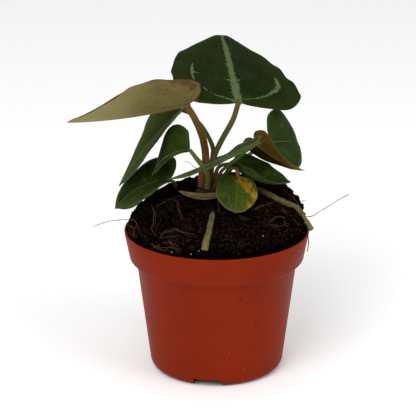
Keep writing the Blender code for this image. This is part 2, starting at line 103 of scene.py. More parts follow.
# Crumbs: pieces to a square metre, seed, sizes in millimetres, and reach from the pot's centre
CRUMBS = {
    "small_crumbs": {"Density": 520000.0, "Seed": 3, "Smallest": 0.8, "Largest": 3.0,
                     "Reach": 57.5 * MM},
    "large_crumbs": {"Density": 120000.0, "Seed": 8, "Smallest": 2.6, "Largest": 7.0,
                     "Reach": 56.0 * MM},
    "clods": {"Density": 26000.0, "Seed": 21, "Smallest": 5.0, "Largest": 11.0,
              "Reach": 54.0 * MM},
    "fine_crumbs": {"Density": 55000.0, "Seed": 13, "Smallest": 0.9, "Largest": 2.4,
                    "Reach": 57.0 * MM},
}
# Fibres, in the same way, but with sizes as shares of ten millimetres
FIBRES = {"Density": 11000.0, "Seed": 5, "Smallest": 0.4, "Largest": 1.3, "Reach": 50.0 * MM,
          "Thickness": 0.11 * MM}
SCATTER_INPUTS = {"Density": "Float", "Seed": "Int", "Smallest": "Float", "Largest": "Float",
                  "Reach": "Float", "Material": "Material"}
# White mineral specks, as places from above
PERLITE = ((-20.1, -50.3), (-16.3, -55.8), (-28.3, -50.9), (-11.3, -56.1), (28.9, -46.1))
PERLITE_LIFT = 1.8
PERLITE_RADIUS = 0.55

# Crown
CROWN_X, CROWN_Y = -3.8, -0.8
CROWN_RADIUS = 9.5
CROWN_TOP = 122.5
CROWN_DEPTH = 16.0
CROWN_RINGS, CROWN_SIDES = 44, 48
# Rings left by old leaves, as (height, rate, start) of waves up the crown
CROWN_SCARS = ((0.35, 1.9, 0.0), (0.2, 4.3, 1.0))
CROWN_ROUGHNESS = 0.05

# The flat shape of half a heart leaf, as fractions of its half width and of its length
HEART_LOBE = ((0.0, 0.0), (0.16, -0.60), (0.45, -1.0), (0.80, -0.55))
HEART_SIDE = ((1.0, 0.0), (0.90, 0.22))
HEART_END = ((0.62, 0.62), (0.28, 0.84), (0.08, 0.95), (0.0, 1.0))
END_NARROWING = (0.10, 0.25, 0.30, 0.0)
END_PINCH = (0.02, -0.07, 0.05, 0.0)

# The flat shape of half a bud sheath
LANCE = ((0.0, 0.0), (0.75, 0.02), (1.0, 0.30), (0.70, 0.70), (0.25, 0.93), (0.0, 1.0))

# Rows along each half blade and columns across it
FINE_GRID = (110, 28)
LEAF_GRID = (84, 18)
SHEATH_GRID = (40, 8)

# A blade's section: half its thickness at the edge and what that gains further in, and the
# heights and reaches of the rib under its midrib and of the ridges under its side veins
EDGE_THICKNESS = 0.14
INNER_THICKNESS = 0.12
RIB_HEIGHT, RIB_REACH = 0.035, 0.9
GROOVE_SHARE, GROOVE_REACH = 0.3, 0.8
RIDGE_HEIGHT, RIDGE_REACH = 0.12, 0.5
# How far from a vein the quilting rises, the wave's radians to a millimetre, the reach across
# and the start along of a channel, and the start of a hook
QUILT_REACH = 2.2
WAVE_RATE = 0.33
CHANNEL_REACH, CHANNEL_START = 3.0, 0.55
HOOK_START = 0.75
# Distances in millimetres that stand for no vein and no patch
NO_VEIN = 99.0
NO_PATCH = 20.0

# The vein that leaves the stem, runs round the lobe and follows the edge, in the same fractions,
# each place with the vein's share of its full width
RING_VEIN = ((0.03, 0.01, 1.0), (0.19, 0.05, 1.0), (0.33, 0.08, 0.9), (0.46, 0.12, 0.8),
             (0.58, 0.17, 0.8), (0.65, 0.24, 0.7), (0.66, 0.33, 0.6), (0.60, 0.43, 0.5))
LOBE_VEIN = ((0.05, 0.0, 0.7), (0.28, 0.01, 0.6), (0.52, 0.02, 0.5), (0.74, 0.06, 0.4))
# The young leaf's veins, which all leave the stem's end
YOUNG_VEINS = (
    ((0.03, 0.0, 1.0), (0.22, 0.06, 0.9), (0.42, 0.16, 0.8), (0.56, 0.32, 0.6), (0.56, 0.52, 0.4)),
    ((0.05, -0.01, 1.0), (0.30, 0.0, 0.9), (0.55, 0.06, 0.7), (0.74, 0.18, 0.5), (0.78, 0.34, 0.3)),
    ((0.04, -0.02, 1.0), (0.25, -0.05, 0.8), (0.48, -0.04, 0.6), (0.70, 0.02, 0.4)),
    ((0.0, 0.14, 0.9), (0.16, 0.24, 0.7), (0.34, 0.44, 0.5), (0.38, 0.62, 0.3)),
)
# The silver veins of the large leaf: those round each lobe, and the first side vein of each half
SILVER_LEFT = (
    ((0.04, 0.01, 0.45), (0.19, 0.05, 0.35), (0.33, 0.08, 0.35), (0.46, 0.13, 0.40),
     (0.56, 0.18, 0.35), (0.61, 0.25, 0.50), (0.60, 0.34, 0.70), (0.55, 0.44, 0.30)),
    ((0.60, 0.32, 0.55), (0.55, 0.31, 0.45), (0.47, 0.31, 0.25)),
    ((0.0, 0.20, 0.8), (0.07, 0.22, 0.5), (0.17, 0.25, 0.20), (0.42, 0.35, 0.08)),
)
SILVER_RIGHT = (
    ((0.08, 0.04, 0.20), (0.30, 0.07, 0.30), (0.46, 0.11, 0.65), (0.58, 0.16, 1.0),
     (0.68, 0.21, 1.15), (0.70, 0.28, 0.9), (0.69, 0.38, 0.25)),
    ((0.0, 0.20, 0.8), (0.06, 0.22, 0.7), (0.12, 0.25, 0.30), (0.35, 0.36, 0.12),
     (0.53, 0.44, 0.10)),
)
SIDE_VEIN_STARTS = (0.10, 0.20, 0.33, 0.47, 0.60, 0.72)
SIDE_VEIN_SLOPE = 0.40


def rgb(red, green, blue):
    """A colour as the eye sees it, from 0 to 255, turned into the light it reflects."""
    def one(value):
        value /= 255
        return value / 12.92 if value <= 0.04045 else ((value + 0.055) / 1.055) ** 2.4
    return one(red), one(green), one(blue)


@dataclass
class Face:
    """The colours of one side of a blade. left and right colour its two halves, and where they
    differ much the difference is painted light and shade. Widths are in millimetres.
    """
    left: tuple
    right: tuple
    edge: tuple
    vein: tuple
    rib: tuple
    tip: tuple = rgb(70, 62, 30)
    yellow: tuple = rgb(142, 106, 12)
    brown: tuple = rgb(70, 50, 18)
    edge_width: float = 3.0
    vein_width: float = 0.7
    vein_strength: float = 0.5
    side_strength: float = 0.35
    rib_width: float = 0.8
    rib_end: float = 0.4
    tip_start: float = 1.1
    ragged: float = 0.5
    tip_fade: float = 0.05
    speckle: float = 0.0
    mottle: float = 0.55


@dataclass
class Blade:
    """A leaf blade, from its stem at base to its tip.

    azimuth and rise aim the midrib at the base. droop and turn bend it down and round by the
    tip, and hook bends the last quarter further down. roll lifts the left half, and twist adds
    to roll by the tip. Each half leaves the midrib at its fold, and curls by curl at its edge.
    pinch draws the sides in before a blunt tip, and channel sinks the midrib there. wave
    ripples the edges, and quilting raises the skin between the veins. veins lists the left and
    the right half's own veins. yellow and brown are patches: (fraction across, with + to the
    left, fraction along, radius).
    """
    base: tuple
    length: float
    azimuth: float
    rise: float
    droop: float = 0.0
    turn: float = 0.0
    hook: float = 0.0
    roll: float = 0.0
    twist: float = 0.0
    left: float = 20.0
    right: float = 20.0
    fold_left: float = 0.0
    fold_right: float = 0.0
    opening: float = 0.0
    curl_left: float = 0.0
    curl_right: float = 0.0
    lobe: float = 0.1
    widest: float = 0.2
    narrowing: float = 0.0
    pinch: float = 0.0
    channel: float = 0.0
    wave: float = 0.35
    quilting: float = 0.30
    veins: tuple = ()
    yellow: tuple = ()
    brown: tuple = ()


BLADES = {
    # The large upper leaf, held level and pointing to the back
    "leaf_01": Blade(base=(14.1, 6.0, 177.2), length=95, azimuth=101, rise=33, droop=32, turn=-7,
        hook=50, roll=6.5, twist=-6, left=43.5, right=45.5, fold_left=-11, fold_right=-17,
        opening=-17, curl_left=41, curl_right=25, lobe=0.01, widest=0.13, narrowing=-0.8,
        pinch=0.7, channel=1.9, wave=1.0, veins=(SILVER_LEFT, SILVER_RIGHT),
        brown=((0.22, -0.02, 1.7), (0.34, -0.022, 1.6), (0.45, -0.023, 1.8), (0.56, -0.018, 1.7),
        (0.68, -0.005, 1.5), (-0.3, -0.02, 1.2))),
    # The newest leaf, still folded, pointing left; its brown patches by the lobe are its reddish
    # colour darkened by painted shade
    "leaf_02": Blade(base=(-19.2, -21.0, 183.2), length=76, azimuth=188.5, rise=-12.5, droop=-13,
        turn=-1.5, roll=6, twist=3.5, left=30, right=25, fold_left=40, fold_right=46, opening=3,
        curl_left=22.5, curl_right=-14.5, lobe=0.14, widest=0.23, narrowing=0.4, pinch=0.35,
        wave=0.7, veins=(YOUNG_VEINS, YOUNG_VEINS), brown=((0.86, -0.03, 5.0), (0.97, 0.07, 4.5),
        (0.60, -0.08, 3.0))),
    # The long leaf that hangs down at the left
    "leaf_03": Blade(base=(-23.7, 15.0, 169.6), length=65, azimuth=190, rise=-44, droop=14.5,
        turn=-6.5, roll=-22, twist=17.5, left=25, right=25, fold_left=23.5, fold_right=35.5,
        opening=-39.5, curl_left=40.5, curl_right=-57.5, lobe=0.09, widest=0.31),
    # The small folded leaf at the left
    "leaf_04": Blade(base=(-17.2, -9.0, 150.1), length=36.5, azimuth=157, rise=-8.5, droop=58,
        turn=-9, roll=-20.5, twist=15.5, left=15, right=17.5, fold_left=20, fold_right=83.5,
        opening=-67.5, curl_left=23.5, curl_right=-21, lobe=0.03, widest=0.16, narrowing=0.16),
    # The broad leaf over the left of the rim
    "leaf_05": Blade(base=(-30.2, 4.0, 126.0), length=43, azimuth=177.5, rise=-4.5, droop=51,
        turn=-1.5, roll=-26, twist=-6.5, left=19, right=19.5, fold_left=37.5, fold_right=56.5,
        opening=-52.5, curl_right=-70, lobe=0.09, widest=0.18, narrowing=-2.0),
    # The narrow leaf that lies back across the stems
    "leaf_06": Blade(base=(25.8, -23.8, 160.3), length=62, azimuth=184, rise=-26, droop=-6.5,
        turn=-1.5, twist=4.5, left=13, right=12.5, fold_left=-11, fold_right=-1.5, opening=-18,
        curl_left=53, curl_right=4, lobe=0.04, widest=0.24, narrowing=-0.8, wave=0.8),
    # The brown young leaf at the right, seen from below
    "leaf_07": Blade(base=(24.7, -3.0, 152.9), length=37.5, azimuth=-18.5, rise=-39, droop=-34,
        turn=-11.5, roll=-60.5, twist=23.5, left=18, right=19, fold_left=12, opening=-6.5,
        curl_left=5, curl_right=-7, lobe=0.15, widest=0.08),
    # The green leaf behind it
    "leaf_08": Blade(base=(34.8, 12.0, 148.9), length=34, azimuth=49.5, rise=-11, droop=6.5,
        turn=12, roll=14, twist=-4.5, left=21.5, right=22.5, fold_left=74.5, fold_right=-26,
        opening=4, curl_left=-24.5, curl_right=-5, lobe=0.12, widest=0.2),
    # The half-rolled leaf low at the right
    "leaf_09": Blade(base=(9.7, -7.2, 139.6), length=42, azimuth=-16, rise=-41, droop=-60,
        turn=-2.5, roll=1, twist=14.5, left=16, right=12, fold_left=48.5, fold_right=8, opening=2,
        curl_left=-39, curl_right=99, lobe=0.0, widest=0.29, narrowing=-2.0),
    # The round yellowing leaf whose tip is at the soil
    "leaf_10": Blade(base=(13.1, -19.1, 135.4), length=29, azimuth=-93.5, rise=-31, droop=3.5,
        turn=-1.5, roll=-8, twist=-4, left=15.5, right=14.5, fold_left=-22, fold_right=-15,
        opening=-9, curl_left=-3.5, curl_right=-20.5, lobe=0.08, widest=0.27, narrowing=-2.4,
        yellow=((0.12, 0.06, 2.1), (0.36, 0.04, 1.6), (0.52, 0.10, 2.0), (0.80, 0.24, 1.4),
        (0.84, 0.42, 1.8), (0.70, 0.62, 1.7), (0.30, 0.15, 1.9), (0.56, 0.22, 1.8),
        (0.92, 0.33, 1.8)), brown=((-0.10, 0.03, 2.0), (0.24, 0.02, 1.2), (0.68, 0.22, 1.0))),
}

SHEATHS = {
    # The dry sheath that lies at the crown's foot
    "old_sheath": Blade(base=(0.0, -13.9, 120.8), length=25.5, azimuth=176, rise=-15, droop=-44,
        roll=-48, left=3.0, right=3.0, fold_left=30, fold_right=30, curl_left=30, curl_right=30,
        wave=0.15, quilting=0.05),
    # The pink sheath on the tallest stem
    "new_sheath": Blade(base=(-3.6, -0.5, 137.0), length=11, azimuth=50, rise=82, left=1.6,
        right=1.6, fold_left=-10, fold_right=-10, curl_left=-40, curl_right=-40, wave=0.1,
        quilting=0.03),
}


@dataclass
class Stem:
    """A leaf stalk: its centre line, its radii and its colours from the foot to the top."""
    points: tuple
    foot: float
    top: float
    low: tuple
    middle: tuple
    high: tuple
    knee: float = 0.25


GREEN_STALK = rgb(74, 84, 38)
OLIVE_STALK = rgb(78, 76, 36)
RED_STALK = rgb(84, 52, 26)

STEMS = {
    "leaf_01": Stem(((-3.4, 2.0, 123.6), (-3.7, 2.5, 131.6), (-1.5, 3.3, 142.2), (3.3, 4.3, 152.7),
        (10.3, 4.7, 165.9), (13.6, 5.6, 176.2)), 2.1, 1.8, rgb(70, 62, 30), OLIVE_STALK,
        rgb(88, 72, 40)),
    "leaf_02": Stem(((-9.6, -2.0, 123.6), (-9.2, -3.0, 132.1), (-7.0, -6.0, 142.4),
        (-8.2, -10.0, 155.1), (-10.7, -14.0, 165.0), (-14.5, -17.8, 174.8), (-18.6, -20.8, 182.3)),
        2.8, 2.2, rgb(104, 54, 32), rgb(86, 62, 24), rgb(100, 70, 34)),
    "leaf_03": Stem(((-6.4, 5.4, 123.6), (-3.7, 7.0, 134.9), (-2.4, 9.5, 145.0),
        (-6.3, 12.0, 154.3), (-10.8, 13.5, 160.6), (-16.6, 14.8, 167.0), (-22.4, 15.0, 169.4)),
        1.7, 1.3, OLIVE_STALK, rgb(70, 72, 32), rgb(88, 98, 46)),
    "leaf_04": Stem(((-6.0, -6.3, 123.6), (-5.8, -7.5, 132.2), (-9.5, -9.5, 140.1),
        (-13.3, -10.0, 145.2), (-16.6, -9.2, 149.4)), 2.2, 1.3, rgb(82, 88, 38), rgb(78, 90, 36),
        rgb(76, 92, 40)),
    "leaf_05": Stem(((-26.3, 13.0, 117.4), (-26.8, 11.0, 119.6), (-28.0, 7.9, 122.6),
        (-29.6, 4.7, 125.2)), 1.4, 1.0, rgb(62, 62, 30), GREEN_STALK, GREEN_STALK),
    "leaf_06": Stem(((-1.8, -7.0, 123.6), (2.6, -12.0, 136.3), (12.1, -19.0, 147.3),
        (18.9, -23.0, 154.2), (22.5, -23.9, 156.9)), 1.2, 1.0, RED_STALK, GREEN_STALK,
        GREEN_STALK),
    "leaf_07": Stem(((2.2, 1.0, 123.6), (6.6, 0.8, 132.4), (13.6, 1.7, 142.4), (16.4, 0.0, 147.6),
        (17.7, -3.0, 152.6), (19.2, -4.0, 155.3), (21.4, -3.9, 155.6), (23.2, -3.4, 154.5)), 1.4,
        1.3, RED_STALK, rgb(104, 72, 38), rgb(58, 46, 24), knee=0.3),
    "leaf_08": Stem(((0.2, 4.5, 123.6), (8.6, 9.0, 130.9), (19.6, 13.0, 139.1),
        (29.3, 13.5, 145.1), (34.0, 12.2, 148.4)), 1.4, 1.1, OLIVE_STALK, GREEN_STALK,
        GREEN_STALK),
    "leaf_09": Stem(((-0.8, -2.5, 123.6), (-0.7, -3.5, 130.9), (0.4, -5.5, 136.3),
        (3.6, -7.2, 139.5), (8.7, -7.4, 140.2)), 1.4, 1.1, rgb(78, 52, 26), rgb(88, 66, 32),
        rgb(80, 80, 34)),
    "leaf_10": Stem(((2.9, -4.4, 123.6), (4.6, -9.6, 130.5), (6.8, -12.2, 137.0),
        (9.8, -16.4, 140.7), (12.5, -19.2, 140.3), (13.1, -19.2, 136.9)), 1.3, 1.1, RED_STALK,
        OLIVE_STALK, rgb(104, 66, 50)),
}

BUD = Stem(((3.7, -1.7, 123.6), (5.2, -2.2, 128.5), (6.5, -2.7, 133.0), (6.8, -2.8, 135.9)), 1.0,
    1.2, rgb(96, 60, 42), rgb(122, 66, 54), rgb(134, 76, 62), knee=0.0)

# Places from above that each root passes on the soil, its radii, and the last stretch past the rim
THICK_ROOTS = {
    "front_root": (((-2.4, -34.5), (-3.8, -43.0), (-5.2, -50.0), (-6.7, -54.5), (-7.9, -57.6)),
        1.7, 2.0, ()),
    "side_root": (((26.0, 2.7), (32.9, -7.4), (42.3, -15.8), (50.8, -14.5)), 2.0, 1.8,
        ((55.8, -12.6, 105.3), (58.9, -11.6, 100.8), (61.0, -11.0, 97.0))),
}
STRAY_ROOTS = {
    "thin_root_left": (((-50.0, -24.0), (-53.0, -12.0)), 0.30, 0.16, ((-59.0, -9.0, 103.0),
        (-70.0, -10.0, 102.0), (-80.0, -11.0, 99.0))),
    "thin_root_right": (((45.0, 2.0), (51.0, -3.0)), 0.32, 0.16, ((58.0, -6.0, 104.0),
        (70.0, -10.0, 111.5), (84.5, -14.0, 122.0))),
}
# Places from above that each fine root passes on the soil
HAIR_ROOTS = (
    ((-43.3, 3.0), (-40.9, -15.5), (-40.0, -26.7), (-41.2, -32.1), (-39.8, -36.9), (-37.2, -42.3)),
    ((-41.6, -12.2), (-36.5, -11.4), (-30.1, -9.8), (-26.2, -13.4)),
    ((-25.6, -12.1), (-24.8, -23.5), (-22.8, -31.8), (-20.8, -38.5)),
    ((-36.0, -41.7), (-32.8, -40.8), (-27.7, -42.3), (-23.3, -44.5), (-17.0, -47.7),
        (-13.2, -49.7)),
    ((-35.9, -42.1), (-29.6, -44.8), (-23.3, -46.8)),
    ((-30.8, -45.5), (-28.9, -48.3), (-26.4, -50.8)),
    ((-39.1, -43.1), (-35.9, -44.7), (-30.8, -46.8), (-26.4, -49.7), (-22.0, -53.1)),
    ((-37.9, -44.3), (-32.7, -47.6), (-26.4, -51.1), (-23.2, -53.4)),
    ((-42.4, -39.4), (-38.5, -43.5), (-34.0, -47.3), (-28.9, -50.6)),
    ((-57.4, -6.0), (-55.2, -12.7), (-52.4, -20.3)),
    ((-57.0, -9.0), (-55.8, -16.8), (-51.0, -27.2)),
    ((-57.6, -3.0), (-53.7, -19.5), (-51.6, -26.6)),
    ((32.8, -38.5), (35.5, -34.2), (39.4, -30.6), (43.2, -28.9), (45.1, -31.0), (44.4, -33.8),
        (41.1, -37.9)),
    ((32.8, -39.2), (36.6, -38.1), (41.2, -34.9), (45.8, -29.8)),
    ((47.9, -24.3), (51.2, -22.6), (53.2, -21.7), (55.3, -18.3)),
    ((24.1, -31.5), (28.6, -26.3), (33.9, -21.2), (37.8, -17.1)),
    ((13.3, -36.7), (16.4, -39.0), (19.5, -40.2)),
    ((40.1, -26.3), (44.0, -24.1), (47.9, -23.0)),
    ((0.7, -18.7), (1.3, -28.8), (0.6, -35.5)),
)
# Loose fibres in the air: beside the stems, over the soil's right edge, and over the pot's rim
LOOSE_FIBRES = (
    (0.22, ((-9.4, -6.0, 134.4), (-12.7, -7.0, 136.8), (-15.6, -7.0, 139.4), (-18.5, -7.0, 141.5),
        (-21.3, -7.0, 141.7))),
    (0.22, ((49.0, 2.0, 103.6), (50.8, 2.0, 107.2), (54.0, 2.0, 111.3), (57.8, 2.0, 112.7))),
    (0.40, ((53.0, -16.0, 97.5), (57.0, -16.8, 96.4), (58.9, -17.2, 93.0), (58.7, -17.5, 88.0),
        (58.2, -17.7, 84.5))),
)

# The lower side of a green leaf
UNDER_GREEN = rgb(74, 86, 52)


def green_faces(left, right, edge, vein, rib, under=UNDER_GREEN, **sizes):
    """The faces of a green leaf, with a paler lower side."""
    upper = Face(left=left, right=right, edge=edge, vein=vein, rib=rib, **sizes)
    lower = Face(left=under, right=under, edge=under, vein=rgb(90, 102, 62),
                 rib=rgb(112, 118, 72), rib_width=1.2, rib_end=0.6)
    return upper, lower


# The two sides of each blade, as (upper, lower). Where a blade's left and right colours differ
# much, the darker half is painted shade and the lighter one painted light
FACES = {
    "leaf_01": (Face(left=rgb(28, 37, 14), right=rgb(26, 35, 14), edge=rgb(32, 43, 13),
        vein=rgb(88, 100, 70), rib=rgb(80, 92, 62), brown=rgb(98, 60, 38), edge_width=14,
        vein_width=1.5, vein_strength=0.9, side_strength=0.5, rib_width=2.7, rib_end=1.0,
        ragged=0.7, mottle=0.4, tip=rgb(70, 88, 36), tip_start=0.93),
        Face(left=UNDER_GREEN, right=UNDER_GREEN, edge=rgb(86, 72, 42), vein=rgb(96, 104, 66),
        rib=rgb(116, 118, 74), rib_width=1.6, rib_end=0.9)),
    "leaf_02": (Face(left=rgb(74, 62, 32), right=rgb(70, 56, 30), edge=rgb(90, 52, 30),
        vein=rgb(96, 88, 48), rib=rgb(110, 102, 60), edge_width=3.0, tip=rgb(100, 66, 34),
        tip_start=0.94),
        Face(left=rgb(100, 90, 50), right=rgb(92, 74, 42), edge=rgb(108, 70, 44),
        vein=rgb(78, 66, 34), rib=rgb(96, 82, 46), brown=rgb(82, 60, 34), edge_width=1.0,
        vein_width=0.5, vein_strength=0.75, rib_width=1.0, rib_end=0.5, tip=rgb(136, 130, 88),
        tip_start=0.15, tip_fade=0.75, ragged=0.2, mottle=0.15)),
    "leaf_03": green_faces(rgb(46, 62, 20), rgb(50, 64, 22), rgb(60, 74, 30), rgb(62, 76, 34),
        rgb(84, 84, 46), rib_width=0.8, side_strength=0.2),
    "leaf_04": green_faces(rgb(40, 55, 15), rgb(44, 60, 18), rgb(52, 66, 28), rgb(62, 78, 34),
        rgb(92, 104, 54), rib_width=0.7, side_strength=0.2),
    "leaf_05": green_faces(rgb(34, 46, 14), rgb(22, 31, 6), rgb(54, 68, 24), rgb(44, 58, 22),
        rgb(54, 66, 28), rib_width=0.6, side_strength=0.1, vein_strength=0.3, edge_width=5.0,
        tip=rgb(78, 64, 30), tip_start=0.94),
    # leaf_06's darker right half is painted shade
    "leaf_06": green_faces(rgb(60, 72, 36), rgb(38, 46, 22), rgb(72, 82, 46), rgb(70, 80, 46),
        rgb(88, 98, 58), rib_width=0.6, side_strength=0.2),
    # leaf_07's lower side: its darker left half is painted shade
    "leaf_07": (Face(left=rgb(72, 62, 24), right=rgb(72, 62, 24), edge=rgb(110, 58, 26),
        vein=rgb(90, 78, 36), rib=rgb(104, 92, 44)),
        Face(left=rgb(58, 40, 10), right=rgb(84, 66, 24), edge=rgb(94, 60, 22),
        vein=rgb(100, 78, 34), rib=rgb(112, 94, 42), edge_width=1.6, vein_width=0.5,
        vein_strength=0.35, side_strength=0.25, rib_width=0.9, rib_end=0.8, tip=rgb(108, 102, 50),
        tip_start=0.55, tip_fade=0.4)),
    "leaf_08": green_faces(rgb(36, 51, 16), rgb(33, 48, 18), rgb(50, 68, 24), rgb(58, 74, 34),
        rgb(70, 84, 42), rib_width=0.5, vein_strength=0.4, side_strength=0.2),
    # leaf_09's dark left half and dark lower side are painted shade, and its lighter right half is
    # painted light
    "leaf_09": green_faces(rgb(32, 44, 11), rgb(52, 61, 22), rgb(68, 78, 28), rgb(62, 74, 28),
        rgb(92, 98, 40), rib_width=0.7, edge_width=1.2, side_strength=0.2, mottle=0.4,
        under=rgb(50, 58, 22)),
    "leaf_10": green_faces(rgb(50, 61, 15), rgb(44, 56, 16), rgb(82, 84, 38), rgb(60, 74, 28),
        rgb(66, 78, 32), rib_width=0.3, rib_end=0.2, edge_width=1.4, side_strength=0.12,
        vein_strength=0.2, speckle=0.8, mottle=0.35),
    "old_sheath": (Face(left=rgb(116, 106, 68), right=rgb(116, 106, 68), edge=rgb(120, 104, 66),
        vein=rgb(84, 70, 42), rib=rgb(92, 78, 48)),) * 2,
    "new_sheath": (Face(left=rgb(110, 58, 40), right=rgb(110, 58, 40), edge=rgb(120, 66, 46),
        vein=rgb(92, 46, 32), rib=rgb(98, 52, 36)),) * 2,
}
SLOTS = {"leaf_02": "blade_young", "leaf_07": "blade_young", "leaf_10": "blade_yellow",
         "old_sheath": "sheath", "new_sheath": "sheath"}
BROWN_STEMS = ("leaf_02", "leaf_07", "leaf_09")

# Glosses, as specular levels, and how strongly patches and midribs cover a blade's colour
LEAF_GLOSS, RIND_GLOSS, POT_GLOSS = 0.02, 0.05, 0.03
GLOSS = {"leaf_01": 0.008, "leaf_02": 0.03}
PATCH_STRENGTH, RIB_STRENGTH = 0.85, 0.95

# Rinds of roots, fibres and crown: colours from the foot to the top, flecks and grain
RIND_GRAIN = {"fleck_amount": 0.15, "streak_size": 1.2}
RINDS = {
    "old_root": {"low": rgb(84, 78, 44), "middle": rgb(92, 86, 48), "high": rgb(112, 104, 54),
                 "fleck": rgb(36, 30, 16), "fleck_amount": 0.40, "streak_size": 1.6,
                 "roughness": 0.8, "depth": 0.4 * MM},
    "thin_root": {"low": rgb(62, 42, 30), "middle": rgb(80, 54, 40), "high": rgb(54, 36, 26),
                  "fleck": rgb(32, 20, 14), "roughness": 0.7},
    "dark_fibre": {"low": rgb(30, 20, 14), "middle": rgb(36, 24, 16), "high": rgb(24, 16, 12),
                   "fleck": rgb(14, 10, 8), "roughness": 0.8},
    "dry_fibres": {"low": rgb(56, 38, 26), "middle": rgb(72, 50, 36), "high": rgb(44, 30, 20),
                   "fleck": rgb(26, 18, 12), "roughness": 0.8},
    "crown_bark": {"low": rgb(58, 46, 30), "middle": rgb(66, 54, 34), "high": rgb(66, 54, 34),
                   "fleck": rgb(28, 20, 12), "fleck_amount": 0.5, "streak_size": 0.9,
                   "roughness": 0.85, "depth": 0.6 * MM},
}
# Earths: their dark, brown and grain colours, and how much grain there is; the crumbs' light grains
# are real grains and painted glints of wet soil together
EARTHS = {
    "dark_earth": (rgb(2, 1, 1), rgb(7, 4, 3), rgb(24, 16, 11), 0.15),
    "earth_crumbs": (rgb(3, 2, 1), rgb(29, 20, 15), rgb(96, 64, 48), 0.32),
    "perlite": (rgb(120, 118, 96), rgb(160, 156, 132), rgb(96, 88, 66), 0.1),
}

# Stems: how fast they taper, the knee under the blade, the closing end, lumps and groove
TAPER_RATE = 1.3
KNEE_PLACE, KNEE_REACH = 0.93, 0.05
STEM_END = (0.95, 0.85, 0.7)
STEM_LUMPS, STEM_GROOVE, GROOVE_SPREAD = 0.12, 0.10, 0.5
# Roots: how far above the soil they lie, their lumps, radii and wandering
THICK_ROOT_GAP, THICK_ROOT_LUMPS = 0.5, 0.45
THIN_ROOT_LIFT, WANDER_SIZE = 2.2, 5.0
HAIR_RADIUS, THICKER_HAIR_RADIUS, HAIR_TAPER = 0.16, 0.24, 0.6
BRANCH_RADII = (0.15, 0.10)
STRAY_WANDER, HAIR_WANDER, BRANCH_WANDER, LOOSE_WANDER = 0.5, 0.9, 3.2, 0.3


# Meshes

def new_object(name, data):
    """An object in the scene that shows the given data."""
    item = bpy.data.objects.new(name, data)
    bpy.context.scene.collection.objects.link(item)
    return item


def finished_mesh(name, points, faces, numbers=None, smooth=True, sharp_angle=60):
    """An object at the origin from points in millimetres, with named numbers on its points."""
    mesh = bpy.data.meshes.new(name)
    place = (np.asarray(points, float) + (POT_X, POT_Y, 0)) * MM
    mesh.from_pydata(place.tolist(), [], faces)
    for key, values in (numbers or {}).items():
        values = np.asarray(values, float)
        kind, field = ("FLOAT_VECTOR", "vector") if values.ndim == 2 else ("FLOAT", "value")
        mesh.attributes.new(key, kind, "POINT").data.foreach_set(field, values.ravel())
    form = bmesh.new()
    form.from_mesh(mesh)
    bmesh.ops.remove_doubles(form, verts=form.verts, dist=WELD_DISTANCE)
    bmesh.ops.recalc_face_normals(form, faces=form.faces)
    form.to_mesh(mesh)
    form.free()
    if smooth:
        mesh.shade_smooth()
        mesh.set_sharp_from_angle(angle=math.radians(sharp_angle))
    return new_object(name, mesh)


def evaluated_mesh(item):
    """The plain mesh that an object's modifiers make."""
    return bpy.data.meshes.new_from_object(
        item.evaluated_get(bpy.context.evaluated_depsgraph_get()))


def join_to_plant(item, finish, slot, *nodes):
    """Gives a finished piece its material and the solids that it stands for; slot is not used."""
    item.data.materials.clear()
    item.data.materials.append(finish)
    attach(item, "root")
    if nodes:
        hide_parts(*nodes)


def ring_faces(rings, sides):
    """Faces between rings of points, closed by fans to the two points that follow the rings."""
    first, last, top = rings * sides, rings * sides + 1, (rings - 1) * sides
    faces = []
    for k in range(sides):
        n = (k + 1) % sides
        faces.append((first, n, k))
        faces.append((last, top + k, top + n))
        for low in range(0, top, sides):
            high = low + sides
            faces.append((low + k, low + n, high + n, high + k))
    return faces


def smooth_path(points, count):
    """Points along the Catmull-Rom curve through the given points."""
    p = np.asarray(points, float)
    p = np.vstack([2 * p[0] - p[1], p, 2 * p[-1] - p[-2]])
    spans = len(p) - 3
    t = np.linspace(0, spans, count)
    i = np.minimum(t.astype(int), spans - 1)
    f = (t - i)[:, None]
    a, b, c, d = p[i], p[i + 1], p[i + 2], p[i + 3]
    square = (2 * a - 5 * b + 4 * c - d) * f ** 2
    return 0.5 * (2 * b + (c - a) * f + square + (3 * b - a - 3 * c + d) * f ** 3)


def distance_to_line(points, line):
    """Distance in the flat from each point to a line, over the line's own width if it has one."""
    best = np.full(len(points), NO_VEIN)
    width = line[:, 2] if line.shape[1] > 2 else np.ones(len(line))
    line = line[:, :2]
    for a, b, first, last in zip(line, line[1:], width, width[1:]):
        step = b - a
        share = np.clip(((points - a) @ step) / max(step @ step, 1e-9), 0, 1)
        away = np.linalg.norm(points - (a + share[:, None] * step), axis=1)
        best = np.minimum(best, away / (first + (last - first) * share))
    return best


# Blades

def heart_outline(blade, half_width):
    """Control points of half a heart leaf, in millimetres across and along the blade."""
    points = [(a * half_width, s * blade.lobe * blade.length) for a, s in HEART_LOBE]
    points += [(a * half_width, (s + blade.widest) * blade.length) for a, s in HEART_SIDE]
    for (a, s), narrow, blunt in zip(HEART_END, END_NARROWING, END_PINCH):
        across = a * (1 - narrow * blade.narrowing) + blunt * blade.pinch
        points.append((across * half_width, s * blade.length))
    return points


def lance_outline(blade, half_width):
    """Control points of half a sheath, in the same way."""
    return [(a * half_width, s * blade.length) for a, s in LANCE]


